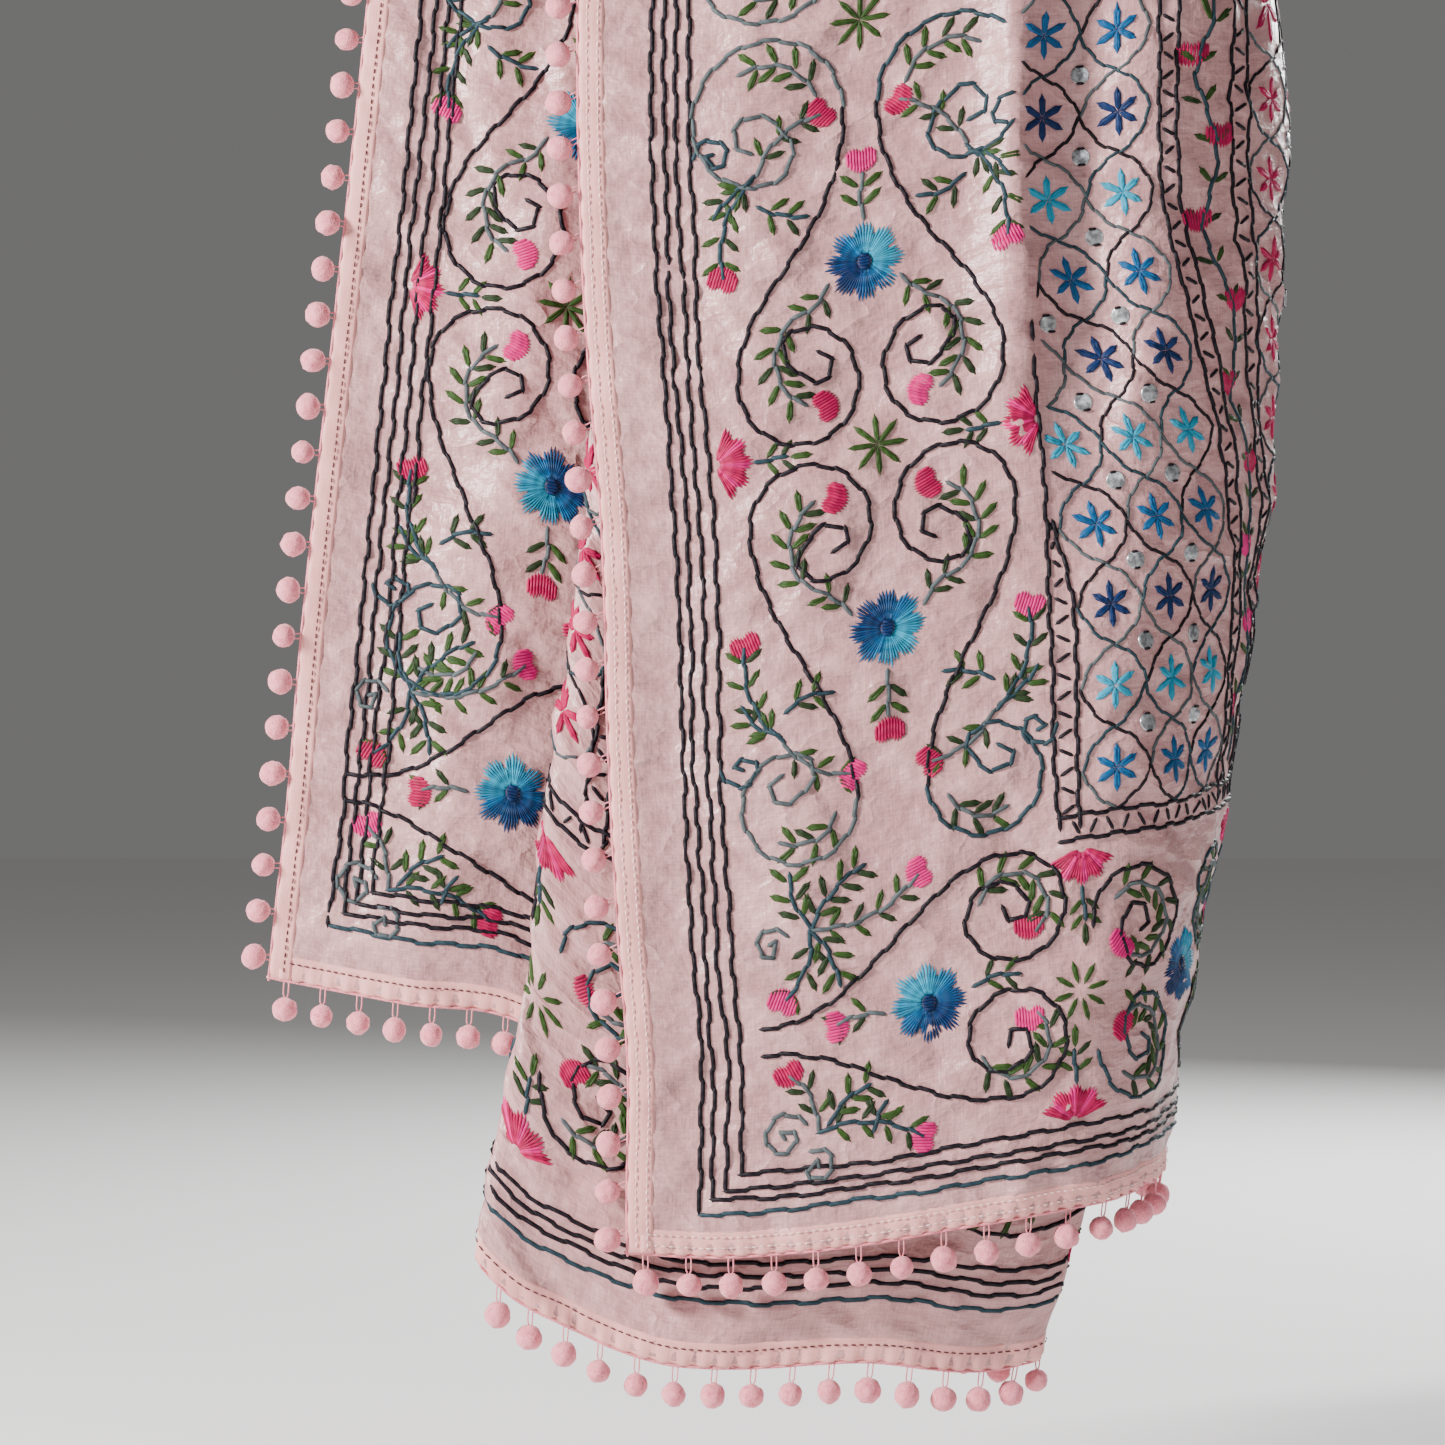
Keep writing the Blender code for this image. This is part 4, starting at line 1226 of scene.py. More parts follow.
        # Points of a stitch: 0 is its start, 1 to 4 and 5 to 8 its two rings, and 9 its end
        caps = [(0, 1, 2), (0, 2, 3), (0, 3, 4), (9, 6, 5), (9, 7, 6), (9, 8, 7)]
        body = [(5, 6, 2, 1), (6, 7, 3, 2), (7, 8, 4, 3)]
        offsets = np.arange(count)[:, None, None] * each
        faces = (np.array(caps) + offsets).reshape(-1, 3).tolist()
        faces += (np.array(body) + offsets).reshape(-1, 4).tolist()
        dye = np.concatenate([np.repeat(colour, each, axis=0), np.ones((count * each, 1))], axis=1)
        marks = {"dye": dye, "twist": twist.reshape(-1)}
        return make_piece(name, vertices.reshape(-1, 3), faces, finish, marks)


@dataclass
class EdgeTape:
    """The ribbon that binds every edge of the cloth, with its gathers and its seams."""

    drape: Drape
    finish: bpy.types.Material
    seams: Skein
    lace_width: float = 0.003
    overlap: float = 0.0008
    corner: float = TRIM_WIDTH * 0.6
    step: float = 0.004
    columns: int = 9
    body: float = 0.0009
    thinnest: float = 0.05
    groove: float = 0.45
    groove_width: float = 0.07
    lining: float = 0.0006
    gathered_drop: float = 0.0003
    under_share: float = 0.8
    ruffle: float = 0.0021
    ruffle_pitch: float = 0.0125
    pucker: float = 0.0009
    pucker_pitch: float = 0.0210
    sway: float = 2.5
    sway_cell: float = 0.05
    stitch: float = 0.0036
    stitch_gap: float = 0.0014
    stitch_width: float = 0.0011

    def lift(self, edge: Edge, share: Array) -> Array:
        """How far the ribbon stands off the cloth's middle surface.

        Args:
            edge: The edge that it binds.
            share: Places over the ribbon, from the edge (0) to its inner side (1).

        Returns:
            The heights.
        """
        pillow = 1 - np.abs(2 * share - 1) ** 5
        width = TRIM_WIDTH - self.lace_width
        for seam in TAPE_SEAMS[edge.shadow_painted_seam]:
            place = (seam - self.lace_width) / width
            pillow = pillow - self.groove * np.exp(-(((share - place) / self.groove_width) ** 2))
        return self.lining + self.body * np.maximum(pillow, self.thinnest)

    def wave(self, edge: Edge, run: Array, share: Array) -> Array:
        """How far the whole ribbon waves off the cloth, as its gathers do.

        Args:
            edge: The edge that it binds.
            run: Places along the edge.
            share: Places over the ribbon, from the edge (0) to its inner side (1).

        Returns:
            The heights.
        """
        noise = patches(run, run * 0, self.sway_cell, 1.0, 21) * self.sway
        if edge.gathered:
            return self.ruffle * (1 - share) ** 1.2 * np.sin(run * 2 * np.pi / self.ruffle_pitch + noise)
        return self.pucker * (1 - 0.6 * share) * np.sin(run * 2 * np.pi / self.pucker_pitch + noise)

    def one(self, edge: Edge) -> bpy.types.Object:
        """Builds the ribbon of one edge, and sews it.

        Args:
            edge: The edge.

        Returns:
            The piece.
        """
        start, end = edge.start, edge.end
        if edge.gathered:
            start, end = max(start, self.corner), min(end, CLOTH_WIDTH - self.corner)
        elif edge.start == 0:
            start = self.lace_width
        elif edge.end == CLOTH_LENGTH:
            end = CLOTH_LENGTH - self.lace_width
        count = int((end - start) / self.step)
        shares = np.linspace(0, 1, self.columns)
        run, share = np.meshgrid(np.linspace(start, end, count), shares, indexing="ij")
        inwards = self.lace_width + share * (TRIM_WIDTH + self.overlap - self.lace_width)
        points, normals = self.drape.read(*edge.flat(run, inwards))
        wave, lift = self.wave(edge, run, share), self.lift(edge, share)
        if edge.gathered:
            lift = lift - self.gathered_drop
        top = points + normals * (wave + lift)[..., None]
        under = points + normals * (wave - lift * self.under_share)[..., None]
        rings = np.concatenate([top, under[:, ::-1]], axis=1)
        around = rings.shape[1]
        faces = grid_quads(count, around, closed=True).tolist()
        faces.append(list(range(around))[::-1])
        faces.append(list(range((count - 1) * around, count * around)))
        if edge.side in ("outer", "right_end"):
            faces = [face[::-1] for face in faces]
        both = np.concatenate([inwards, inwards[:, ::-1]], axis=1)
        runs = np.concatenate([run, run], axis=1)
        cut = np.stack([runs, both, np.zeros_like(both)], axis=-1).reshape(-1, 3)
        self.sew(edge, start, end)
        piece = make_piece(f"binding_{edge.name}", rings.reshape(-1, 3), faces, self.finish, {"cut": cut})
        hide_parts(f"tape_{edge.name}")
        return piece

    def sew(self, edge: Edge, start: float, end: float) -> None:
        """Adds the ribbon's machine stitches: pale ones, or ones painted dark as the shadow of the groove
        that they lie in.

        Args:
            edge: The edge.
            start: Where the ribbon starts.
            end: Where it ends.
        """
        for seam in TAPE_SEAMS[edge.shadow_painted_seam]:
            places = np.arange(start + self.stitch, end - 2 * self.stitch, self.stitch + self.stitch_gap)
            inwards = np.full(len(places), seam)
            first = np.stack(edge.flat(places, inwards), axis=1)
            last = np.stack(edge.flat(places + self.stitch, inwards), axis=1)
            # Painted shadow: the seams on the left fall get dark stitches for the shade in their groove.
            thread = Thread.SEAM_SHADOW if edge.shadow_painted_seam else Thread.PALE
            self.seams.add(first, last, self.stitch_width, thread, self.lining + self.body * 0.5)

    def build(self) -> list[bpy.types.Object]:
        """Builds the ribbon of every edge."""
        return [self.one(edge) for edge in EDGES]


@dataclass
class PompomTrim:
    """Pompoms that hang on short loops from a narrow cord inside every edge."""

    drape: Drape
    finish: bpy.types.Material
    rng: np.random.Generator
    radius: float = 0.0086
    out: float = 0.0105
    drop: float = 0.006
    cord_radius: float = 0.0009
    loop_radius: float = 0.0005
    loop_half_width: float = 0.0016
    crowding: float = 2.45 * 0.0088
    clearance: float = 1.40 * 0.0088
    root_reach: float = 0.016
    steep: float = 0.62
    lumps: float = 0.10
    cord_inset: float = 0.0024
    cord_step: float = 0.005
    loop_depth: float = 0.0035
    loop_step: float = 0.003

    def rim(self, edge: Edge, places: Array) -> tuple[Array, Array]:
        """Points on an edge's rim, and the unit ways out of it."""
        rim = self.drape.read(*edge.flat(places, np.zeros_like(places)))[0]
        inner = self.drape.read(*edge.flat(places, np.full_like(places, 0.004)))[0]
        out = (rim - inner) / np.linalg.norm(rim - inner, axis=1, keepdims=True)
        return rim, out

    def hanging(self, edge: Edge) -> list[tuple[Array, Array, Array]]:
        """Where an edge's pompoms hang.

        Args:
            edge: The edge.

        Returns:
            For each one its root, its centre and the way along the edge.
        """
        places = np.arange(edge.start, edge.end, 0.004)
        line = self.rim(edge, places)[0]
        run = np.concatenate([[0], np.cumsum(np.linalg.norm(np.diff(line, axis=0), axis=1))])
        count = max(int(round(run[-1] / edge.spacing)), 1)
        kept = []
        for n in range(count):
            middle = (n + 0.5) * run[-1] / count
            place = np.array([np.interp(middle, run, places)])
            root, way = (item[0] for item in self.rim(edge, place))
            ahead = self.rim(edge, place + 0.001)[0][0] - root
            ahead /= np.linalg.norm(ahead)
            fall = self.drop * np.clip(1 - 2 * way[2], 0, 1)
            centre = root + way * self.out - np.array((0, 0, fall))
            crowded = any(np.linalg.norm(centre - other[1]) < self.crowding for other in kept)
            away = line[abs(run - middle) > self.root_reach]
            touching = (np.linalg.norm(away - centre, axis=1) < self.clearance).any()
            if abs(way.dot(ahead)) < self.steep and not crowded and not touching:
                kept.append((root, centre, ahead))
        return kept

    def ball(self) -> tuple[Array, list]:
        """A unit ball of even triangles."""
        made = bmesh.new()
        bmesh.ops.create_icosphere(made, subdivisions=3, radius=1.0)
        points = np.array([vertex.co[:] for vertex in made.verts])
        faces = [[vertex.index for vertex in face.verts] for face in made.faces]
        made.free()
        return points, faces

    def tube(self, path: Array, radius: float, sides: int = 5) -> tuple[Array, list]:
        """A thin round cord along a path.

        Args:
            path: Its points.
            radius: Its radius.
            sides: How many sides it has.

        Returns:
            Its points and faces.
        """
        way = np.gradient(path, axis=0)
        way /= np.maximum(np.linalg.norm(way, axis=1, keepdims=True), 1e-12)
        helper = np.where(np.abs(way[:, 2:3]) < 0.8, (0.0, 0.0, 1.0), (0.0, 1.0, 0.0))
        first = np.cross(way, helper)
        first /= np.linalg.norm(first, axis=1, keepdims=True)
        second = np.cross(way, first)
        points = (path[:, None] + circles(first, second, sides) * radius).reshape(-1, 3)
        faces = grid_quads(len(path), sides, closed=True).tolist()
        caps = [list(range(sides))[::-1], list(range((len(path) - 1) * sides, len(path) * sides))]
        return points, faces + caps

    def pompom(self, unit: Array, centre: Array, size: float) -> Array:
        """Roughens and squashes a unit ball, and sets it in its place.

        Args:
            unit: The ball's points.
            centre: Where it hangs.
            size: Its radius.

        Returns:
            Its points.
        """
        phase = self.rng.uniform(0, 2 * np.pi, (5, 3))
        lump = np.zeros(len(unit))
        for n, turn in enumerate(phase):
            lump += np.sin(unit @ np.cos(turn * 3) * (3 + 2 * n) + turn[0])
        squash = self.rng.uniform(0.93, 1.05, 3)
        return centre + unit * size * squash * (1 + self.lumps * lump[:, None] / len(phase))

    def one(self, edge: Edge) -> bpy.types.Object:
        """Builds the trim of one edge.

        Args:
            edge: The edge.

        Returns:
            The piece.
        """
        unit, unit_faces = self.ball()
        points, faces, total = [], [], 0
        places = np.arange(edge.start, edge.end, self.cord_step)
        line = self.drape.read(*edge.flat(places, np.full_like(places, self.cord_inset)))[0]
        parts = [self.tube(line, self.cord_radius)]
        for root, centre, ahead in self.hanging(edge):
            size = self.radius * self.rng.uniform(0.92, 1.03)
            parts.append((self.pompom(unit, centre, size), unit_faces))
            way = (centre - root) / np.linalg.norm(centre - root)
            for side in (-1, 1):
                start = root - way * self.loop_depth + ahead * self.loop_half_width * side
                bow = (start + centre) / 2 + ahead * self.loop_half_width * 0.5 * side
                path = curve_through([start, bow, centre - way * size * 0.75], self.loop_step)
                parts.append(self.tube(path, self.loop_radius, 4))
        for part, part_faces in parts:
            points.append(part)
            faces += [[vertex + total for vertex in face] for face in part_faces]
            total += len(part)
        piece = make_piece(f"pompom_lace_{edge.name}", np.concatenate(points), faces, self.finish, {})
        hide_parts(f"pompoms_{edge.name}")
        return piece

    def build(self) -> list[bpy.types.Object]:
        """Builds the trim of every edge."""
        return [self.one(edge) for edge in EDGES]


@dataclass(frozen=True)
class Spot:
    """A place on the flat cloth with its own directions, in which a motif is laid out."""

    across: float
    along: float
    sideways: tuple[float, float] = (1.0, 0.0)
    ahead: tuple[float, float] = (0.0, 1.0)

    def put(self, points: Array) -> Array:
        """Turns a motif's own coordinates into flat ones."""
        points = np.asarray(points, float)
        turn = np.array((self.sideways, self.ahead))
        return points @ turn + np.array((self.across, self.along))

    def at(self, x: float, y: float) -> "Spot":
        """Another spot with the same directions."""
        place = self.put(np.array((x, y)))
        return Spot(place[0], place[1], self.sideways, self.ahead)

    def facing(self, side: int, up: int = 1) -> "Spot":
        """The same spot with its directions mirrored, so that one half of a motif serves for both."""
        sideways = (self.sideways[0] * side, self.sideways[1] * side)
        return Spot(self.across, self.along, sideways, (self.ahead[0] * up, self.ahead[1] * up))


def spiral(
    centre: tuple[float, float],
    radius: float,
    turns: float,
    start: float,
    hand: int,
    shift: tuple[float, float] = (0.0, 0.0),
) -> Array:
    """A line that winds inwards.

    Args:
        centre: Its centre.
        radius: Its outer radius.
        turns: How many turns it makes.
        start: The angle at which it starts.
        hand: 1 to wind anticlockwise and -1 clockwise.
        shift: How far its inner curl lies from its centre.

    Returns:
        Its points.
    """
    part = np.linspace(0, 1, int(28 * turns) + 4)
    inwards = smooth((part - 0.36) / 0.26)
    reach = radius * (1 - 0.10 * part - 0.56 * inwards - 0.16 * part**3)
    angle = start + hand * 2 * np.pi * turns * part
    middle = np.array(centre) + inwards[:, None] * np.array(shift)
    return middle + np.stack([reach * np.cos(angle), reach * np.sin(angle)], axis=1)


def arc(centre: tuple[float, float], radius: float, start: float, end: float) -> Array:
    """Part of a circle, from one angle to another."""
    angle = np.linspace(start, end, 25)
    return np.stack([centre[0] + radius * np.cos(angle), centre[1] + radius * np.sin(angle)], axis=1)


def bowed(start: tuple[float, float], end: tuple[float, float], bow: float) -> Array:
    """A bow between two places.

    Args:
        start: Where it starts.
        end: Where it ends.
        bow: How far it stands aside, as a share of its length.

    Returns:
        Its points.
    """
    first, last = np.asarray(start, float), np.asarray(end, float)
    way = last - first
    aside = np.array((-way[1], way[0])) * bow
    return bezier(first, first + way * 0.33 + aside, first + way * 0.67 + aside, last)


@dataclass
class Embroidery:
    """Everything that is worked by hand on the cloth, in its own flat layout."""

    skein: Skein
    rng: np.random.Generator
    mirrors: list[tuple[float, float]] = field(default_factory=list)
    leaf_length: float = 0.0165
    leaf_width: float = 0.0044
    bud_radius: float = 0.0100
    flower_radius: float = 0.0265
    petals: int = 8
    fan_radius: float = 0.0260
    star_row: float = 0.054
    star_column: float = 0.049
    star_arm: float = 0.0165
    mirror_radius: float = 0.0064
    dash_pitch: float = 0.0125
    band_width: float = 0.0155
    vine_axis: float = 0.189
    outer_axis: float = 0.740
    vine_period: float = 0.562
    vine_near: float = 0.121
    vine_far: float = 0.160

    # A vine's rings, sideways and ahead of its flower: their centres, radii and the shifts of their curls
    FAR_RING, FAR_RADIUS, FAR_CURL = (0.062, 0.104), 0.051, (0.009, -0.014)
    NEAR_RING, NEAR_RADIUS, NEAR_CURL = (0.0475, -0.074), 0.041, (-0.013, 0.012)
    SIDE_TWIGS = (
        # root, tip
        ((0.069, 0.046), (0.036, 0.036)),
        ((0.072, 0.062), (0.098, 0.040)),
    )
    CORNER_TWIGS = (
        # root, tip
        ((-0.074, 0.060), (-0.036, 0.098)),
        ((-0.074, 0.060), (-0.058, 0.020)),
        ((-0.070, -0.070), (-0.042, -0.046)),
        ((-0.040, -0.078), (-0.030, -0.060)),
        ((-0.074, 0.060), (-0.086, 0.098)),
    )
    CORNER_CURLS = (
        # centre, radius, turns, start, hand, length of a stitch
        ((-0.100, 0.052), 0.011, 1.5, 0.4, 1, 0.009),
        ((-0.097, -0.074), 0.014, 1.7, 0.4, 1, 0.009),
        ((-0.076, -0.096), 0.011, 1.5, 2.0, -1, 0.008),
    )

    def leaf(self, spot: Spot, x: float, y: float, angle: float, size: float = 1.0) -> None:
        """Works a leaf in three long stitches.

        Args:
            spot: The motif's spot.
            x: The leaf's root, sideways.
            y: The leaf's root, ahead.
            angle: The way it points.
            size: Its size, as a share of the usual one.
        """
        way = np.array((np.cos(angle), np.sin(angle)))
        aside = np.array((-way[1], way[0]))
        root = np.array((x, y)) + way * 0.0012
        tip = root + way * self.leaf_length * size
        spread = self.leaf_width * size * 0.30
        starts = [root + aside * side * spread * 0.5 + way * 0.0012 * abs(side) for side in (-1, 0, 1)]
        ends = [tip + aside * side * spread - way * 0.0024 * abs(side) for side in (-1, 0, 1)]
        thread = Thread.MOSS if self.rng.random() < 0.35 else Thread.LEAF
        self.skein.add(spot.put(starts), spot.put(ends), self.leaf_width * size * 0.55, thread)

    def leafed(
        self,
        spot: Spot,
        curve: Array,
        thread: Thread,
        pitch: float = 0.0150,
        size: float = 1.0,
    ) -> None:
        """Works a stem with leaves in pairs along it.

        Args:
            spot: The motif's spot.
            curve: The stem's points, in the motif's coordinates.
            thread: The stem's skein.
            pitch: How far apart the pairs are.
            size: The leaves' size.
        """
        self.skein.chords(spot.put(curve), thread)
        run = np.concatenate([[0], np.cumsum(np.linalg.norm(np.diff(curve, axis=0), axis=1))])
        for place in np.arange(pitch * 0.7, run[-1] - pitch * 0.3, pitch):
            x, y = (np.interp(place, run, curve[:, n]) for n in (0, 1))
            after = [np.interp(place + 0.003, run, curve[:, n]) for n in (0, 1)]
            heading = np.arctan2(after[1] - y, after[0] - x)
            for side in (-1, 1):
                self.leaf(spot, x, y, heading + side * self.rng.uniform(0.75, 1.0), size)

    def bud(self, spot: Spot, x: float, y: float, angle: float = np.pi / 2) -> None:
        """Works a heart-shaped bud in a block of satin stitch.

        Args:
            spot: The motif's spot.
            x: Its centre, sideways.
            y: Its centre, ahead.
            angle: The way that its notch faces.
        """
        way = np.array((np.cos(angle), np.sin(angle)))
        aside = np.array((-way[1], way[0]))
        centre, count = np.array((x, y)), 10
        offsets = (np.arange(count) - (count - 1) / 2) / (count / 2)
        top = np.sqrt(np.maximum(1 - (np.abs(offsets) * 1.6 - 0.75) ** 2, 0.05)) * 0.9
        bottom = -np.sqrt(np.maximum(1 - offsets**2, 0.02)) * 0.95
        starts = [centre + (aside * o + way * low) * self.bud_radius for o, low in zip(offsets, bottom)]
        ends = [centre + (aside * o + way * high) * self.bud_radius for o, high in zip(offsets, top)]
        thread = Thread.ROSE if self.rng.random() < 0.4 else Thread.MAGENTA
        self.skein.add(spot.put(starts), spot.put(ends), 2.35 * self.bud_radius / count, thread)

    def flower(self, spot: Spot, painted_light_angle: float = 0.6) -> None:
        """Works a blue flower of notched petals in radiating satin stitch, painted lighter on one side and
        darker on the other as painted light and shade.

        Args:
            spot: The flower's centre and directions.
            painted_light_angle: The way in which its pale side faces: the petals are painted paler towards
                it as a painted highlight, and darker away from it as painted shade.
        """
        count = 64
        angles = np.arange(count) / count * 2 * np.pi
        lobe = 0.72 + 0.28 * np.abs(np.cos(angles * self.petals / 2)) ** 0.6
        way = np.stack([np.cos(angles), np.sin(angles)], axis=1)
        # Painted light and shade: each petal runs from navy to sky by how far it faces the painted light's
        # angle, with a little random tone added.
        pale = 0.5 + 0.5 * np.cos(angles - painted_light_angle) + self.rng.uniform(-0.12, 0.12, count)
        navy, blue, sky = (np.array(shade.value) for shade in (Thread.NAVY, Thread.BLUE, Thread.SKY))
        lower, upper = np.clip(pale * 2, 0, 1)[:, None], np.clip(pale * 2 - 1, 0, 1)[:, None]
        colour = navy + (blue - navy) * lower + (sky - blue) * upper
        colour = colour * self.rng.uniform(0.7, 1.3, (count, 1))
        reach = self.flower_radius * lobe * self.rng.uniform(0.94, 1.06, count)
        width = 2 * np.pi * self.flower_radius * 0.62 / count * 1.15
        eye = way * self.flower_radius * 0.16
        self.skein.add(spot.put(eye), spot.put(way * reach[:, None]), width, colour)
        rows = (np.arange(5) - 2) / 2.6
        half = np.sqrt(1 - rows**2) * self.flower_radius * 0.20
        low = np.stack([-half, rows * self.flower_radius * 0.20], axis=1)
        high = np.stack([half, rows * self.flower_radius * 0.20], axis=1)
        self.skein.add(spot.put(low), spot.put(high), 0.0024, Thread.NAVY, 0.0009)

    def star(
        self,
        spot: Spot,
        thread: Thread,
        arms: int,
        reach: float,
        width: float,
        hole: float = 0.0,
        lean: float = 0.0,
    ) -> None:
        """Works a star whose arms taper outwards and inwards.

        Args:
            spot: Its centre and directions.
            thread: The skein.
            arms: How many arms it has.
            reach: How far they reach.
            width: How wide each one is.
            hole: How far from the centre they start.
            lean: The angle of the first arm.
        """
        starts, ends = [], []
        for n in range(arms):
            angle = lean + 2 * np.pi * n / arms
            way = np.array((np.cos(angle), np.sin(angle)))
            aside = np.array((-way[1], way[0]))
            for side in (-1, 0, 1):
                starts.append(way * (hole + 0.0016 * abs(side)) + aside * side * width * 0.14)
                ends.append(way * (reach - 0.0026 * abs(side)) + aside * side * width * 0.26)
        self.skein.add(spot.put(starts), spot.put(ends), width * 0.55, thread)

    def fan(self, spot: Spot, x: float, y: float, angle: float) -> None:
        """Works a half flower in a fan of satin stitch, with a leafy stem out of its round side.

        Args:
            spot: The motif's spot.
            x: The middle of its base, sideways.
            y: The middle of its base, ahead.
            angle: The way that it faces.
        """
        count = 24
        turns = angle + np.linspace(-1.20, 1.20, count)
        way = np.stack([np.cos(turns), np.sin(turns)], axis=1)
        lobe = 0.80 + 0.20 * np.abs(np.cos(np.linspace(0, np.pi * 4, count)))
        base = np.array((x, y))
        starts = base + way * self.fan_radius * 0.12
        ends = base + way * (self.fan_radius * lobe)[:, None]
        colour = np.where((np.arange(count) % 7 < 5)[:, None], Thread.MAGENTA.value, Thread.ROSE.value)
        colour = colour * self.rng.uniform(0.75, 1.25, (count, 1))
        self.skein.add(spot.put(starts), spot.put(ends), 0.0024, colour)
        facing = np.array((np.cos(angle), np.sin(angle)))
        stem = np.stack([base + facing * reach for reach in (self.fan_radius, self.fan_radius + 0.022)])
        self.leafed(spot, np.linspace(stem[0], stem[1], 9), Thread.TEAL, 0.0100, 0.85)
        self.leaf(spot, *stem[1], angle)

    def sprig(self, spot: Spot, root: tuple[float, float], tips: Sequence[tuple[float, float]]) -> None:
        """Works bent twigs from one root, each with leaves and a bud at its end.

        Args:
            spot: The motif's spot.
            root: Where the twigs start.
            tips: Where their buds are.
        """
        for n, tip in enumerate(tips):
            bow = 0.18 if n % 2 else -0.18
            self.leafed(spot, bowed(root, tip, bow), Thread.TEAL if n % 2 else Thread.SLATE, 0.0165, 0.9)
            self.bud(spot, tip[0], tip[1], np.arctan2(tip[1] - root[1], tip[0] - root[0]))

    def vine_module(self, spot: Spot, stars: bool, room: float) -> None:
        """Works one flower of a vine with its scrolls, leaves, buds and half flowers.

        Args:
            spot: The flower's spot, whose ahead is the way to the far star.
            stars: Whether its two stars and the half flowers beside the near one are worked with it.
            room: How large the far rings are, as a share of the usual size.
        """
        self.flower(spot)
        if stars:
            self.vine_star(spot.at(0, -self.vine_near))
            self.vine_star(spot.at(0, self.vine_far))
        for side in (-1, 1):
            half = spot.facing(side)
            self.scroll(half, room, side)
            self.leafed(half, arc((0.029, -0.059), 0.034, 0.95, -1.10), Thread.SLATE, 0.0122)
            self.leafed(half, bowed((0.024, -0.012), (0.0488, -0.0313), -0.15), Thread.SLATE, 0.0120, 0.9)
            self.bud(half, 0.031, -0.090, -0.4)
            far = self.far_centre(room)
            inner = arc(far, 0.034 * room, 2.85, 1.00)
            self.leafed(half, inner, Thread.SLATE, 0.0130)
            self.sprig(half, (0.070, 0.066), ((0.026, 0.102 - 0.040 * (1 - room)), (0.094, 0.000)))
            for root, tip in self.SIDE_TWIGS:
                self.leafed(half, bowed(root, tip, 0.15), Thread.TEAL, 0.0120, 0.95)
            self.skein.chords(half.put(spiral((0.099, 0.081), 0.012, 1.4, 0, 1)), Thread.TEAL, length=0.008)
            if stars:
                self.fan(half, 0.1080, -self.vine_near, np.pi)
        self.leafed(spot, bowed((0, 0.028), (0, 0.058), 0.05), Thread.SLATE, 0.0120)
        self.bud(spot, 0, 0.067)

    def vine_star(self, spot: Spot) -> None:
        """Works one of a vine's green stars."""
        self.star(spot, Thread.LEAF, 8, 0.021, 0.0040)

    def far_centre(self, room: float) -> tuple[float, float]:
        """The centre of a far ring, which lies further out where the ring is small."""
        return self.FAR_RING[0], self.FAR_RING[1] + 0.020 * (1 - room)

    def scroll(self, half: Spot, room: float, side: int) -> None:
        """Works the great scroll of a vine: out of the far ring, past the flower and into the near ring.

        Args:
            half: The flower's spot, with its sideways outwards.
            room: How large the far ring is, as a share of the usual size.
            side: -1 or 1, which changes the skeins.
        """
        far, far_radius = self.far_centre(room), self.FAR_RADIUS * room
        far_ring = spiral(far, far_radius, 1.75, np.pi, -1, self.FAR_CURL)
        leave = np.array((far[0] - far_radius, far[1]))
        arrive = np.array((self.NEAR_RING[0] + self.NEAR_RADIUS, self.NEAR_RING[1]))
        bend = bezier(leave, leave + (0, -0.090 * room), arrive + (0, 0.066), arrive)
        near_ring = spiral(self.NEAR_RING, self.NEAR_RADIUS, 1.75, 0.0, -1, self.NEAR_CURL)
        self.skein.chords(half.put(far_ring), Thread.SLATE if side < 0 else Thread.TEAL)
        self.skein.chords(half.put(np.concatenate([bend, near_ring[1:]])), Thread.AUBERGINE)

    def vine(self, axis: float, start: float, end: float, from_left: bool) -> None:
        """Works a vine along the cloth, in flowers that face each other in pairs.

        Args:
            axis: Where it runs, across the cloth.
            start: How far from the hem its first near star is.
            end: How far from the hem the vine must end.
            from_left: Whether it starts at the left fall's hem.
        """
        for n in range(-1, 6):
            middle = start + n * self.vine_period
            for way in (-1, 1):
                place = middle + way * self.vine_near
                if not start - 0.16 < place < end:
                    continue
                tight = place < start or place > end - 0.10
                along, ahead = (CLOTH_LENGTH - place, -way) if from_left else (place, way)
                spot = Spot(axis, along, (1.0, 0.0), (0.0, float(ahead)))
                self.vine_module(spot, way > 0, 0.76 if tight else 1.0)

    def corner(self, spot: Spot) -> None:
        """Works the flower, scrolls, buds and leaves that fill a corner of the cloth.

        Args:
            spot: The flower's spot, whose sideways is the way to the middle of the cloth.
        """
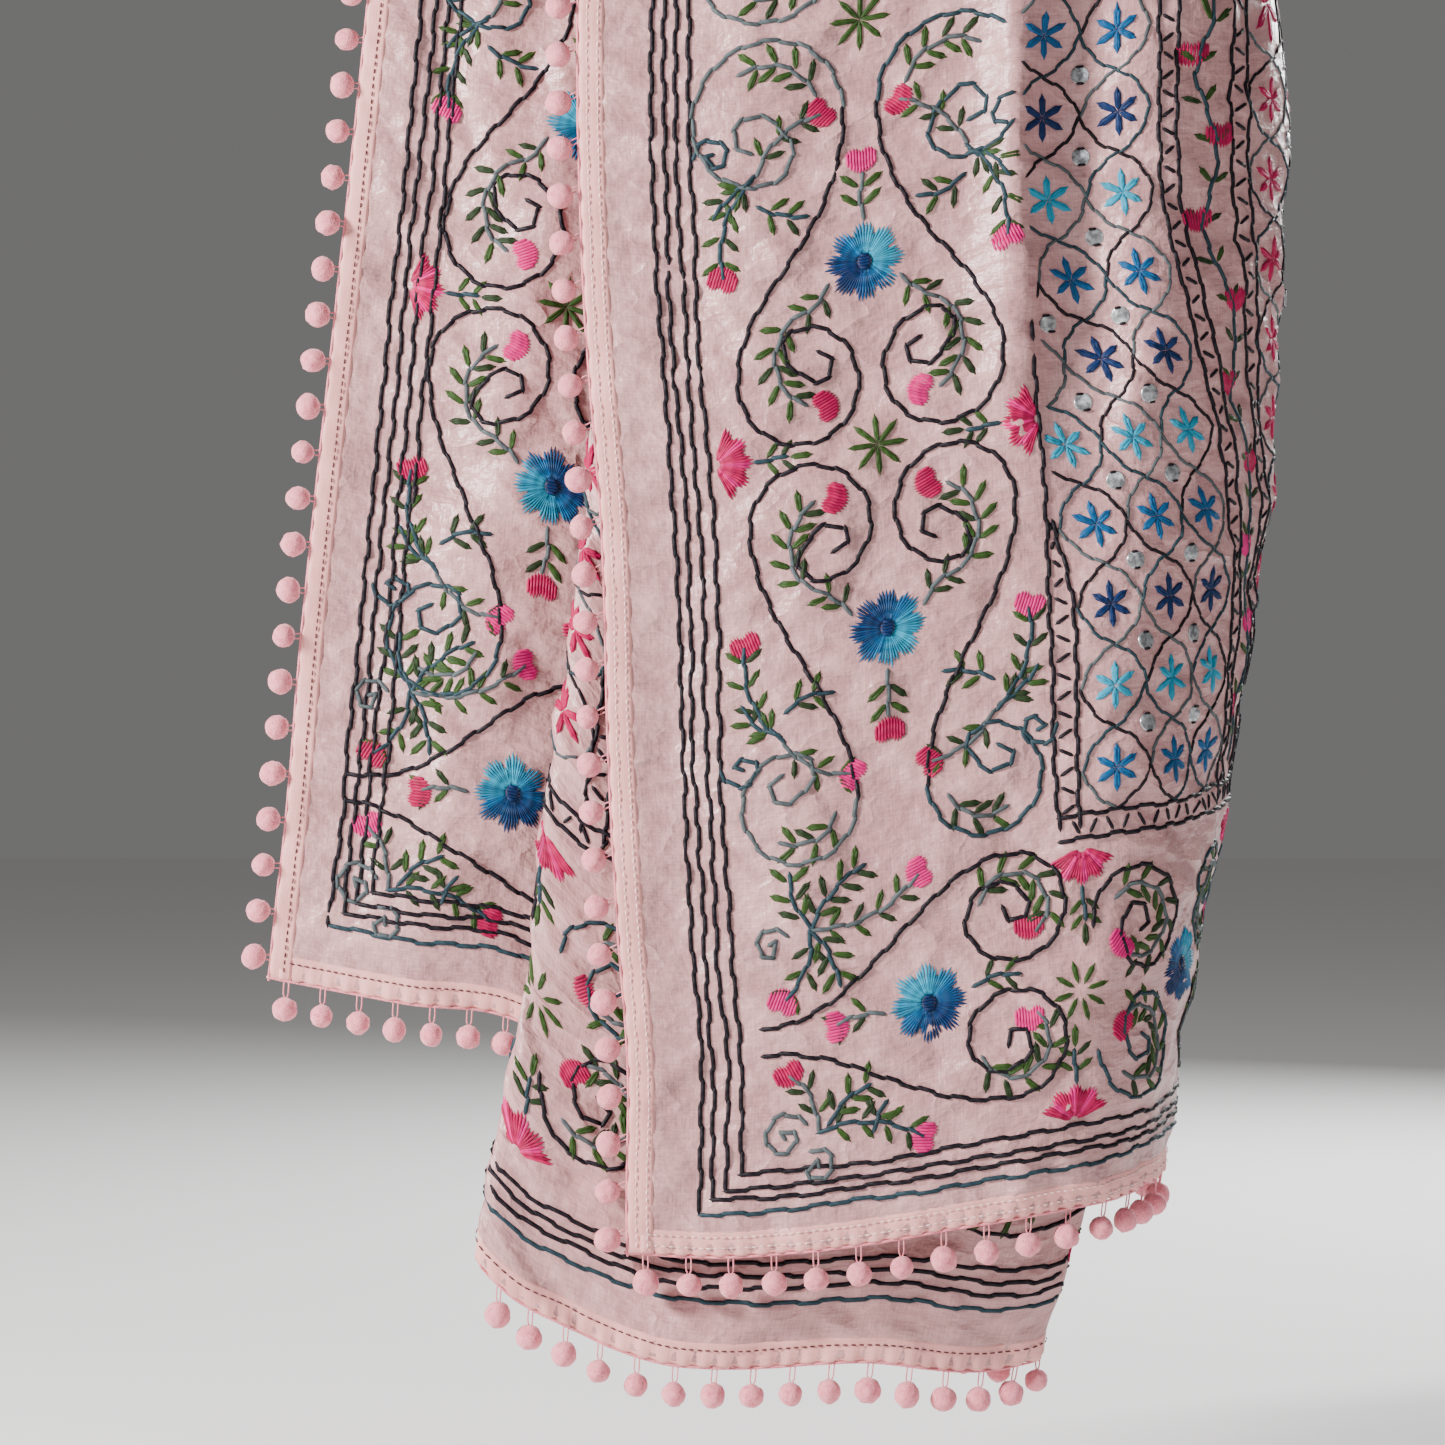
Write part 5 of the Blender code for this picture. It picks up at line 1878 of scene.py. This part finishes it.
        # The corner flowers get their painted highlight side at the angle 2.2.
        self.flower(spot, 2.2)
        upper, lower, reach = (0.060, 0.053), (0.056, -0.035), 0.036
        self.turn_in(spot, (-0.112, -0.002), (-0.045, -0.008), (0.000, 0.090), upper, reach, 1)
        self.turn_in(spot, (-0.112, -0.020), (-0.050, -0.016), (-0.010, -0.074), lower, reach, -1)
        for ring, up in ((upper, 1), (lower, -1)):
            self.leafed(spot, arc(ring, 0.0235, 2.9 * up, -0.9 * up), Thread.SLATE, 0.0128)
            self.bud(spot, ring[0] + 0.010, ring[1] - 0.014 * up)
        self.leafed(spot, bowed((0.030, 0.006), (0.062, 0.010), 0.1), Thread.TEAL, 0.0125, 0.85)
        self.sprig(spot, (-0.030, -0.003), ((-0.062, -0.006),))
        self.sprig(spot, (-0.074, 0.060), ((-0.001, 0.086), (-0.096, 0.014)))
        self.sprig(spot, (-0.076, -0.074), ((-0.095, -0.034), (-0.006, -0.088)))
        for root, tip in self.CORNER_TWIGS:
            self.leafed(spot, bowed(root, tip, 0.12), Thread.TEAL, 0.0125)
        for *curl, length in self.CORNER_CURLS:
            self.skein.chords(spot.put(spiral(*curl)), Thread.SLATE, length=length)

    def turn_in(
        self,
        spot: Spot,
        start: tuple[float, float],
        one: tuple[float, float],
        two: tuple[float, float],
        ring: tuple[float, float],
        reach: float,
        up: int,
    ) -> None:
        """Works a long scroll that sweeps over its own ring and winds into it.

        Args:
            spot: The motif's spot.
            start: Where it leaves the border lines.
            one: The place that its first half bends to.
            two: The place that its second half bends to.
            ring: The ring's centre.
            reach: The ring's radius.
            up: 1 to enter the ring at its top and -1 at its bottom.
        """
        sweep = bezier(start, one, two, (ring[0], ring[1] + reach * up))
        winding = spiral(ring, reach, 1.8, np.pi / 2 * up, -up)
        self.skein.chords(spot.put(np.concatenate([sweep, winding[1:]])), Thread.AUBERGINE)

    def end_module(self, spot: Spot, depth: float, sides: Sequence[int] = (-1, 1)) -> None:
        """Works one star of an end border with the rings, scrolls and half flowers round it.

        Args:
            spot: The star's spot, whose ahead is away from the hem.
            depth: How far the border reaches on each side of its axis.
            sides: On which sides its rings are: a corner has its own.
        """
        self.star(spot, Thread.LEAF, 8, 0.021, 0.0038, 0.0045, 0.2)
        for side in sides:
            for up in (-1, 1):
                part = spot.facing(side, up)
                thread = Thread.AUBERGINE if side * up > 0 else Thread.TEAL
                self.skein.chords(part.put(spiral((0.048, 0.041), 0.037, 1.75, np.pi, -1)), thread)
                self.leafed(part, arc((0.048, 0.041), 0.0245, 2.4, -2.0), Thread.SLATE, 0.0128)
                self.bud(part, 0.031, 0.027, np.pi / 4)
        self.fan(spot, 0.006, depth, -np.pi / 2)
        self.fan(spot, -0.006, -depth + 0.008, np.pi / 2)

    def zigzag(self, start: tuple[float, float], end: tuple[float, float]) -> None:
        """Works two lines with slanting dashes between them.

        Args:
            start: Where the band starts, on its middle line.
            end: Where it ends.
        """
        first, last = np.array(start), np.array(end)
        length = np.linalg.norm(last - first)
        way = (last - first) / length
        aside = np.array((-way[1], way[0]))
        for side in (-1, 1):
            shift = aside * side * self.band_width / 2
            self.skein.chords(self.wavy(first + shift, last + shift), Thread.AUBERGINE)
        places = np.arange(self.dash_pitch, length - self.dash_pitch / 2, self.dash_pitch)
        slant = np.where(np.arange(len(places)) % 2, 1, -1)[:, None]
        middle = first + places[:, None] * way
        reach = aside * 0.0050 + way * 0.0028 * slant
        self.skein.add(middle - reach, middle + reach, 0.0026, Thread.AUBERGINE)

    def wavy(self, start: Array, end: Array) -> Array:
        """A line drawn by hand: nearly straight, and a little wavy."""
        length = np.linalg.norm(end - start)
        way = (end - start) / length
        places = np.linspace(0, length, max(int(length / 0.01), 2))
        seed = int(self.rng.integers(1, 9999))
        sway = patches(places, places * 0, 0.05, 1.0, seed) * 0.0011
        return start + places[:, None] * way + sway[:, None] * np.array((-way[1], way[0]))

    def frame_lines(self) -> None:
        """Works the four lines that run round the whole cloth inside its tape."""
        neck, right = (0.051, 0.059, 0.068, 0.077), (0.032, 0.041, 0.047, 0.057)
        outer, left = (0.850, 0.841, 0.832, 0.823), (0.045, 0.055, 0.063, 0.072)
        for n in range(4):
            low, high = neck[n], outer[n] + 0.008
            first, last = right[n], CLOTH_LENGTH - left[n]
            corners = ((low, first), (high, first), (high, last), (low, last))
            for k in range(4):
                thread = Thread.TEAL if n == 0 and k % 2 == 0 else Thread.AUBERGINE
                start, end = np.array(corners[k]), np.array(corners[(k + 1) % 4])
                self.skein.chords(self.wavy(start, end), thread, 0.0031, 0.0145, 0.0024)

    def lattice(self, columns: Sequence[float], start: float, end: float, red: bool) -> None:
        """Works a field of stars and mirrors with a net of bowed lines round them.

        Args:
            columns: Where the stars' columns are, across the cloth.
            start: Where the first row is, along the cloth.
            end: Where the field ends.
            red: Whether all of its stars are magenta, or blue ones that change by row.
        """
        blues = (Thread.BLUE, Thread.SKY, Thread.NAVY)
        half_row, half_column = self.star_row / 2, self.star_column / 2
        lines = (Thread.AUBERGINE, Thread.TEAL, Thread.SLATE)
        rows = np.arange(start, end, self.star_row)
        for j, row in enumerate(rows):
            for i, column in enumerate(columns):
                thread = Thread.MAGENTA if red else blues[j % 3]
                self.star(Spot(column, row), thread, 6, self.star_arm, 0.0050, 0.0, np.pi / 6)
                for n, (right, up) in enumerate(((1, 1), (-1, 1), (-1, -1), (1, -1))):
                    from_side = (column + right * half_column, row)
                    to_top = (column, row + up * half_row)
                    line = bowed(from_side, to_top, 0.16 * right * up * -1)
                    self.skein.chords(line, lines[(i + j + n) % 3], 0.0024, 0.0105, 0.0012)
                if i + 1 < len(columns) and j + 1 < len(rows):
                    self.mirror(column + half_column, row + half_row)

    def mirror(self, across: float, along: float) -> None:
        """Places a mirror and its two tie stitches."""
        self.mirrors.append((across, along))
        for up in (-1, 1):
            y = along + up * self.mirror_radius * 0.86
            reach = self.mirror_radius * 0.45
            self.skein.add([(across - reach, y)], [(across + reach, y)], 0.0018, Thread.AUBERGINE, 0.0009)

    def bud_vine(self, across: float, start: float, end: float) -> None:
        """Works the narrow vine of buds between the fields.

        Args:
            across: Where it runs.
            start: Where it starts, along the cloth.
            end: Where it ends.
        """
        places = np.arange(start, end, 0.002)
        stem = np.stack([across + 0.006 * np.sin(places * 2 * np.pi / 0.11), places], axis=1)
        self.leafed(Spot(0, 0), stem, Thread.TEAL, 0.0275, 0.85)
        for n, place in enumerate(np.arange(start + 0.04, end - 0.02, 0.055)):
            self.bud(Spot(0, 0), across + (0.009 if n % 2 else -0.009), place)

    def lay_out(self) -> None:
        """Works the whole design."""
        right_band, left_band = 0.2545, CLOTH_LENGTH - 0.3150
        self.frame_lines()
        for across in (0.3045, 0.4775, 0.5295, 0.6415):
            self.zigzag((across, right_band), (across, left_band))
        for along in (right_band, left_band):
            self.zigzag((0.297, along), (0.650, along))
        self.lattice((0.340, 0.389, 0.438), right_band + 0.036, left_band - 0.03, False)
        self.lattice((0.561, 0.609), right_band + 0.036, left_band - 0.03, True)
        self.bud_vine(0.5035, right_band + 0.02, left_band - 0.02)
        for axis in (self.vine_axis, self.outer_axis):
            self.vine(axis, 0.526, 1.30, False)
            self.vine(axis, 0.478, 1.15, True)
            self.vine_star(Spot(axis, 1.430))
        self.corner(Spot(0.204, 0.155))
        self.corner(Spot(0.735, 0.155, (-1.0, 0.0)))
        self.corner(Spot(0.745, CLOTH_LENGTH - 0.150, (-1.0, 0.0), (0.0, -1.0)))
        self.corner(Spot(0.204, CLOTH_LENGTH - 0.165, (1.0, 0.0), (0.0, -1.0)))
        self.end_module(Spot(0.307, 0.147), 0.094, (1,))
        self.end_module(Spot(0.513, 0.147), 0.094)
        self.flower(Spot(0.410, 0.150))
        self.flower(Spot(0.616, 0.150))
        for across in (0.3506, 0.5566):
            self.end_module(Spot(across, CLOTH_LENGTH - 0.188, (1.0, 0.0), (0.0, -1.0)), 0.105)
        self.flower(Spot(0.4536, CLOTH_LENGTH - 0.186))

    def mirror_discs(self, finish: bpy.types.Material) -> bpy.types.Object:
        """Makes the mirrors, which lie flat on the cloth."""
        places = np.array(self.mirrors)
        across, side = self.skein.drape.tucked(places[:, 0], places[:, 1])
        places = np.stack([across, places[:, 1]], axis=1)[side != 0]
        points, normals = self.skein.drape.read(places[:, 0], places[:, 1])
        right = np.cross(normals, (0.0, 0.0, 1.0))
        right /= np.maximum(np.linalg.norm(right, axis=1, keepdims=True), 1e-9)
        up = np.cross(normals, right)
        sides, rings = 20, []
        for reach, height in ((1.0, 0.0004), (0.96, 0.0012), (0.88, 0.0014)):
            ring = circles(right, up, sides) * self.mirror_radius * reach
            rings.append(points[:, None] + ring + normals[:, None] * height)
        vertices = np.concatenate(rings, axis=1)
        faces = []
        for n in range(len(vertices)):
            first = n * sides * 3
            for k in range(sides):
                m = (k + 1) % sides
                for low in (first, first + sides):
                    faces.append([low + k, low + m, low + sides + m, low + sides + k])
            faces.append([first + 2 * sides + k for k in range(sides)])
        return make_piece("mirror_discs", vertices.reshape(-1, 3), faces, finish, {})


@dataclass(frozen=True)
class Studio:
    """A plain pale floor, soft lights and the camera."""

    camera_place: tuple[float, float, float] = (0.0149, -3.18, -0.9164)
    lens: float = 113.2
    sensor: float = 36.0
    floor_height: float = -1.46
    floor_size: float = 30.0
    target: tuple[float, float, float] = (0.05, 0.0, -0.75)
    world_colour: tuple[float, float, float, float] = (0.82, 0.81, 0.80, 1.0)
    world_strength: float = 0.20
    lamps: tuple = (
        # place, size, power, colour
        ((-2.6, -1.7, 0.3), 0.6, 300.0, (1.0, 0.985, 0.965)),
        ((1.8, -3.0, 0.6), 1.2, 22.0, (0.97, 0.98, 1.0)),
        ((1.6, 2.7, 0.6), 1.2, 170.0, (1.0, 1.0, 1.0)),
    )

    def floor(self) -> None:
        """Makes the floor, which is no part of the object."""
        half = self.floor_size / 2
        z = self.floor_height
        mesh = bpy.data.meshes.new("studio_floor")
        corners = [(-half, -half, z), (half, -half, z), (half, half, z), (-half, half, z)]
        mesh.from_pydata(corners, [], [(0, 1, 2, 3)])
        look = Look("studio_floor", {"Roughness": 0.9, "Base Color": (0.90, 0.895, 0.89, 1.0)})
        mesh.materials.append(look.material)
        floor = bpy.data.objects.new("studio_floor", mesh)
        bpy.context.scene.collection.objects.link(floor)
        floor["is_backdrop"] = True

    def lights(self) -> None:
        """Hangs the soft lights and sets the world's pale light."""
        for n, (place, size, power, colour) in enumerate(self.lamps):
            data = bpy.data.lights.new(f"studio_light_{n}", "AREA")
            data.size, data.energy, data.color = size, power, colour
            lamp = bpy.data.objects.new(data.name, data)
            lamp.location = place
            lamp.rotation_euler = (Vector(self.target) - Vector(place)).to_track_quat("-Z", "Y").to_euler()
            bpy.context.scene.collection.objects.link(lamp)
        world = bpy.data.worlds.new("studio_world")
        world.use_nodes = True
        background = world.node_tree.nodes["Background"].inputs
        background["Color"].default_value = self.world_colour
        background["Strength"].default_value = self.world_strength
        bpy.context.scene.world = world

    def camera(self) -> None:
        """Sets the camera in front, level, as the photograph was taken."""
        data = bpy.data.cameras.new("camera")
        data.lens, data.sensor_width, data.sensor_height = self.lens, self.sensor, self.sensor
        camera = bpy.data.objects.new("camera", data)
        camera.location = self.camera_place
        camera.rotation_euler = (np.pi / 2, 0.0, 0.0)
        bpy.context.scene.collection.objects.link(camera)
        bpy.context.scene.camera = camera


def main() -> None:
    """Builds every sub-assembly in order."""
    logging.basicConfig(level=logging.INFO, format="%(name)s %(message)s")
    studio = Studio()
    studio.camera()
    drape = Drape()
    floss = TwistedFloss().material()
    Cloth(drape, SlubSilk().material()).build()
    work = Skein(drape, np.random.default_rng(5))
    EdgeTape(drape, RibbonSatin().material(), work).build()
    PompomTrim(drape, PompomFelt().material(), np.random.default_rng(7)).build()
    embroidery = Embroidery(work, np.random.default_rng(9))
    embroidery.lay_out()
    right, left = STITCH_SPLITS
    stretches = (
        # name, start and end along the cloth
        ("stitching_right_fall", -1.0, right),
        ("stitching_shoulders", right, left),
        ("stitching_left_fall", left, CLOTH_LENGTH + 1.0),
    )
    for name, low, high in stretches:
        work.build(name, floss, low, high)
    embroidery.mirror_discs(MirrorGlass().material())
    studio.floor()
    studio.lights()
    boxes = {"cad": CAD_BOX, "visual": [list(corner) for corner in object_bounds()]}
    boxes = {label: [[float(number) for number in corner] for corner in box] for label, box in boxes.items()}


if __name__ == "__main__":
    main()
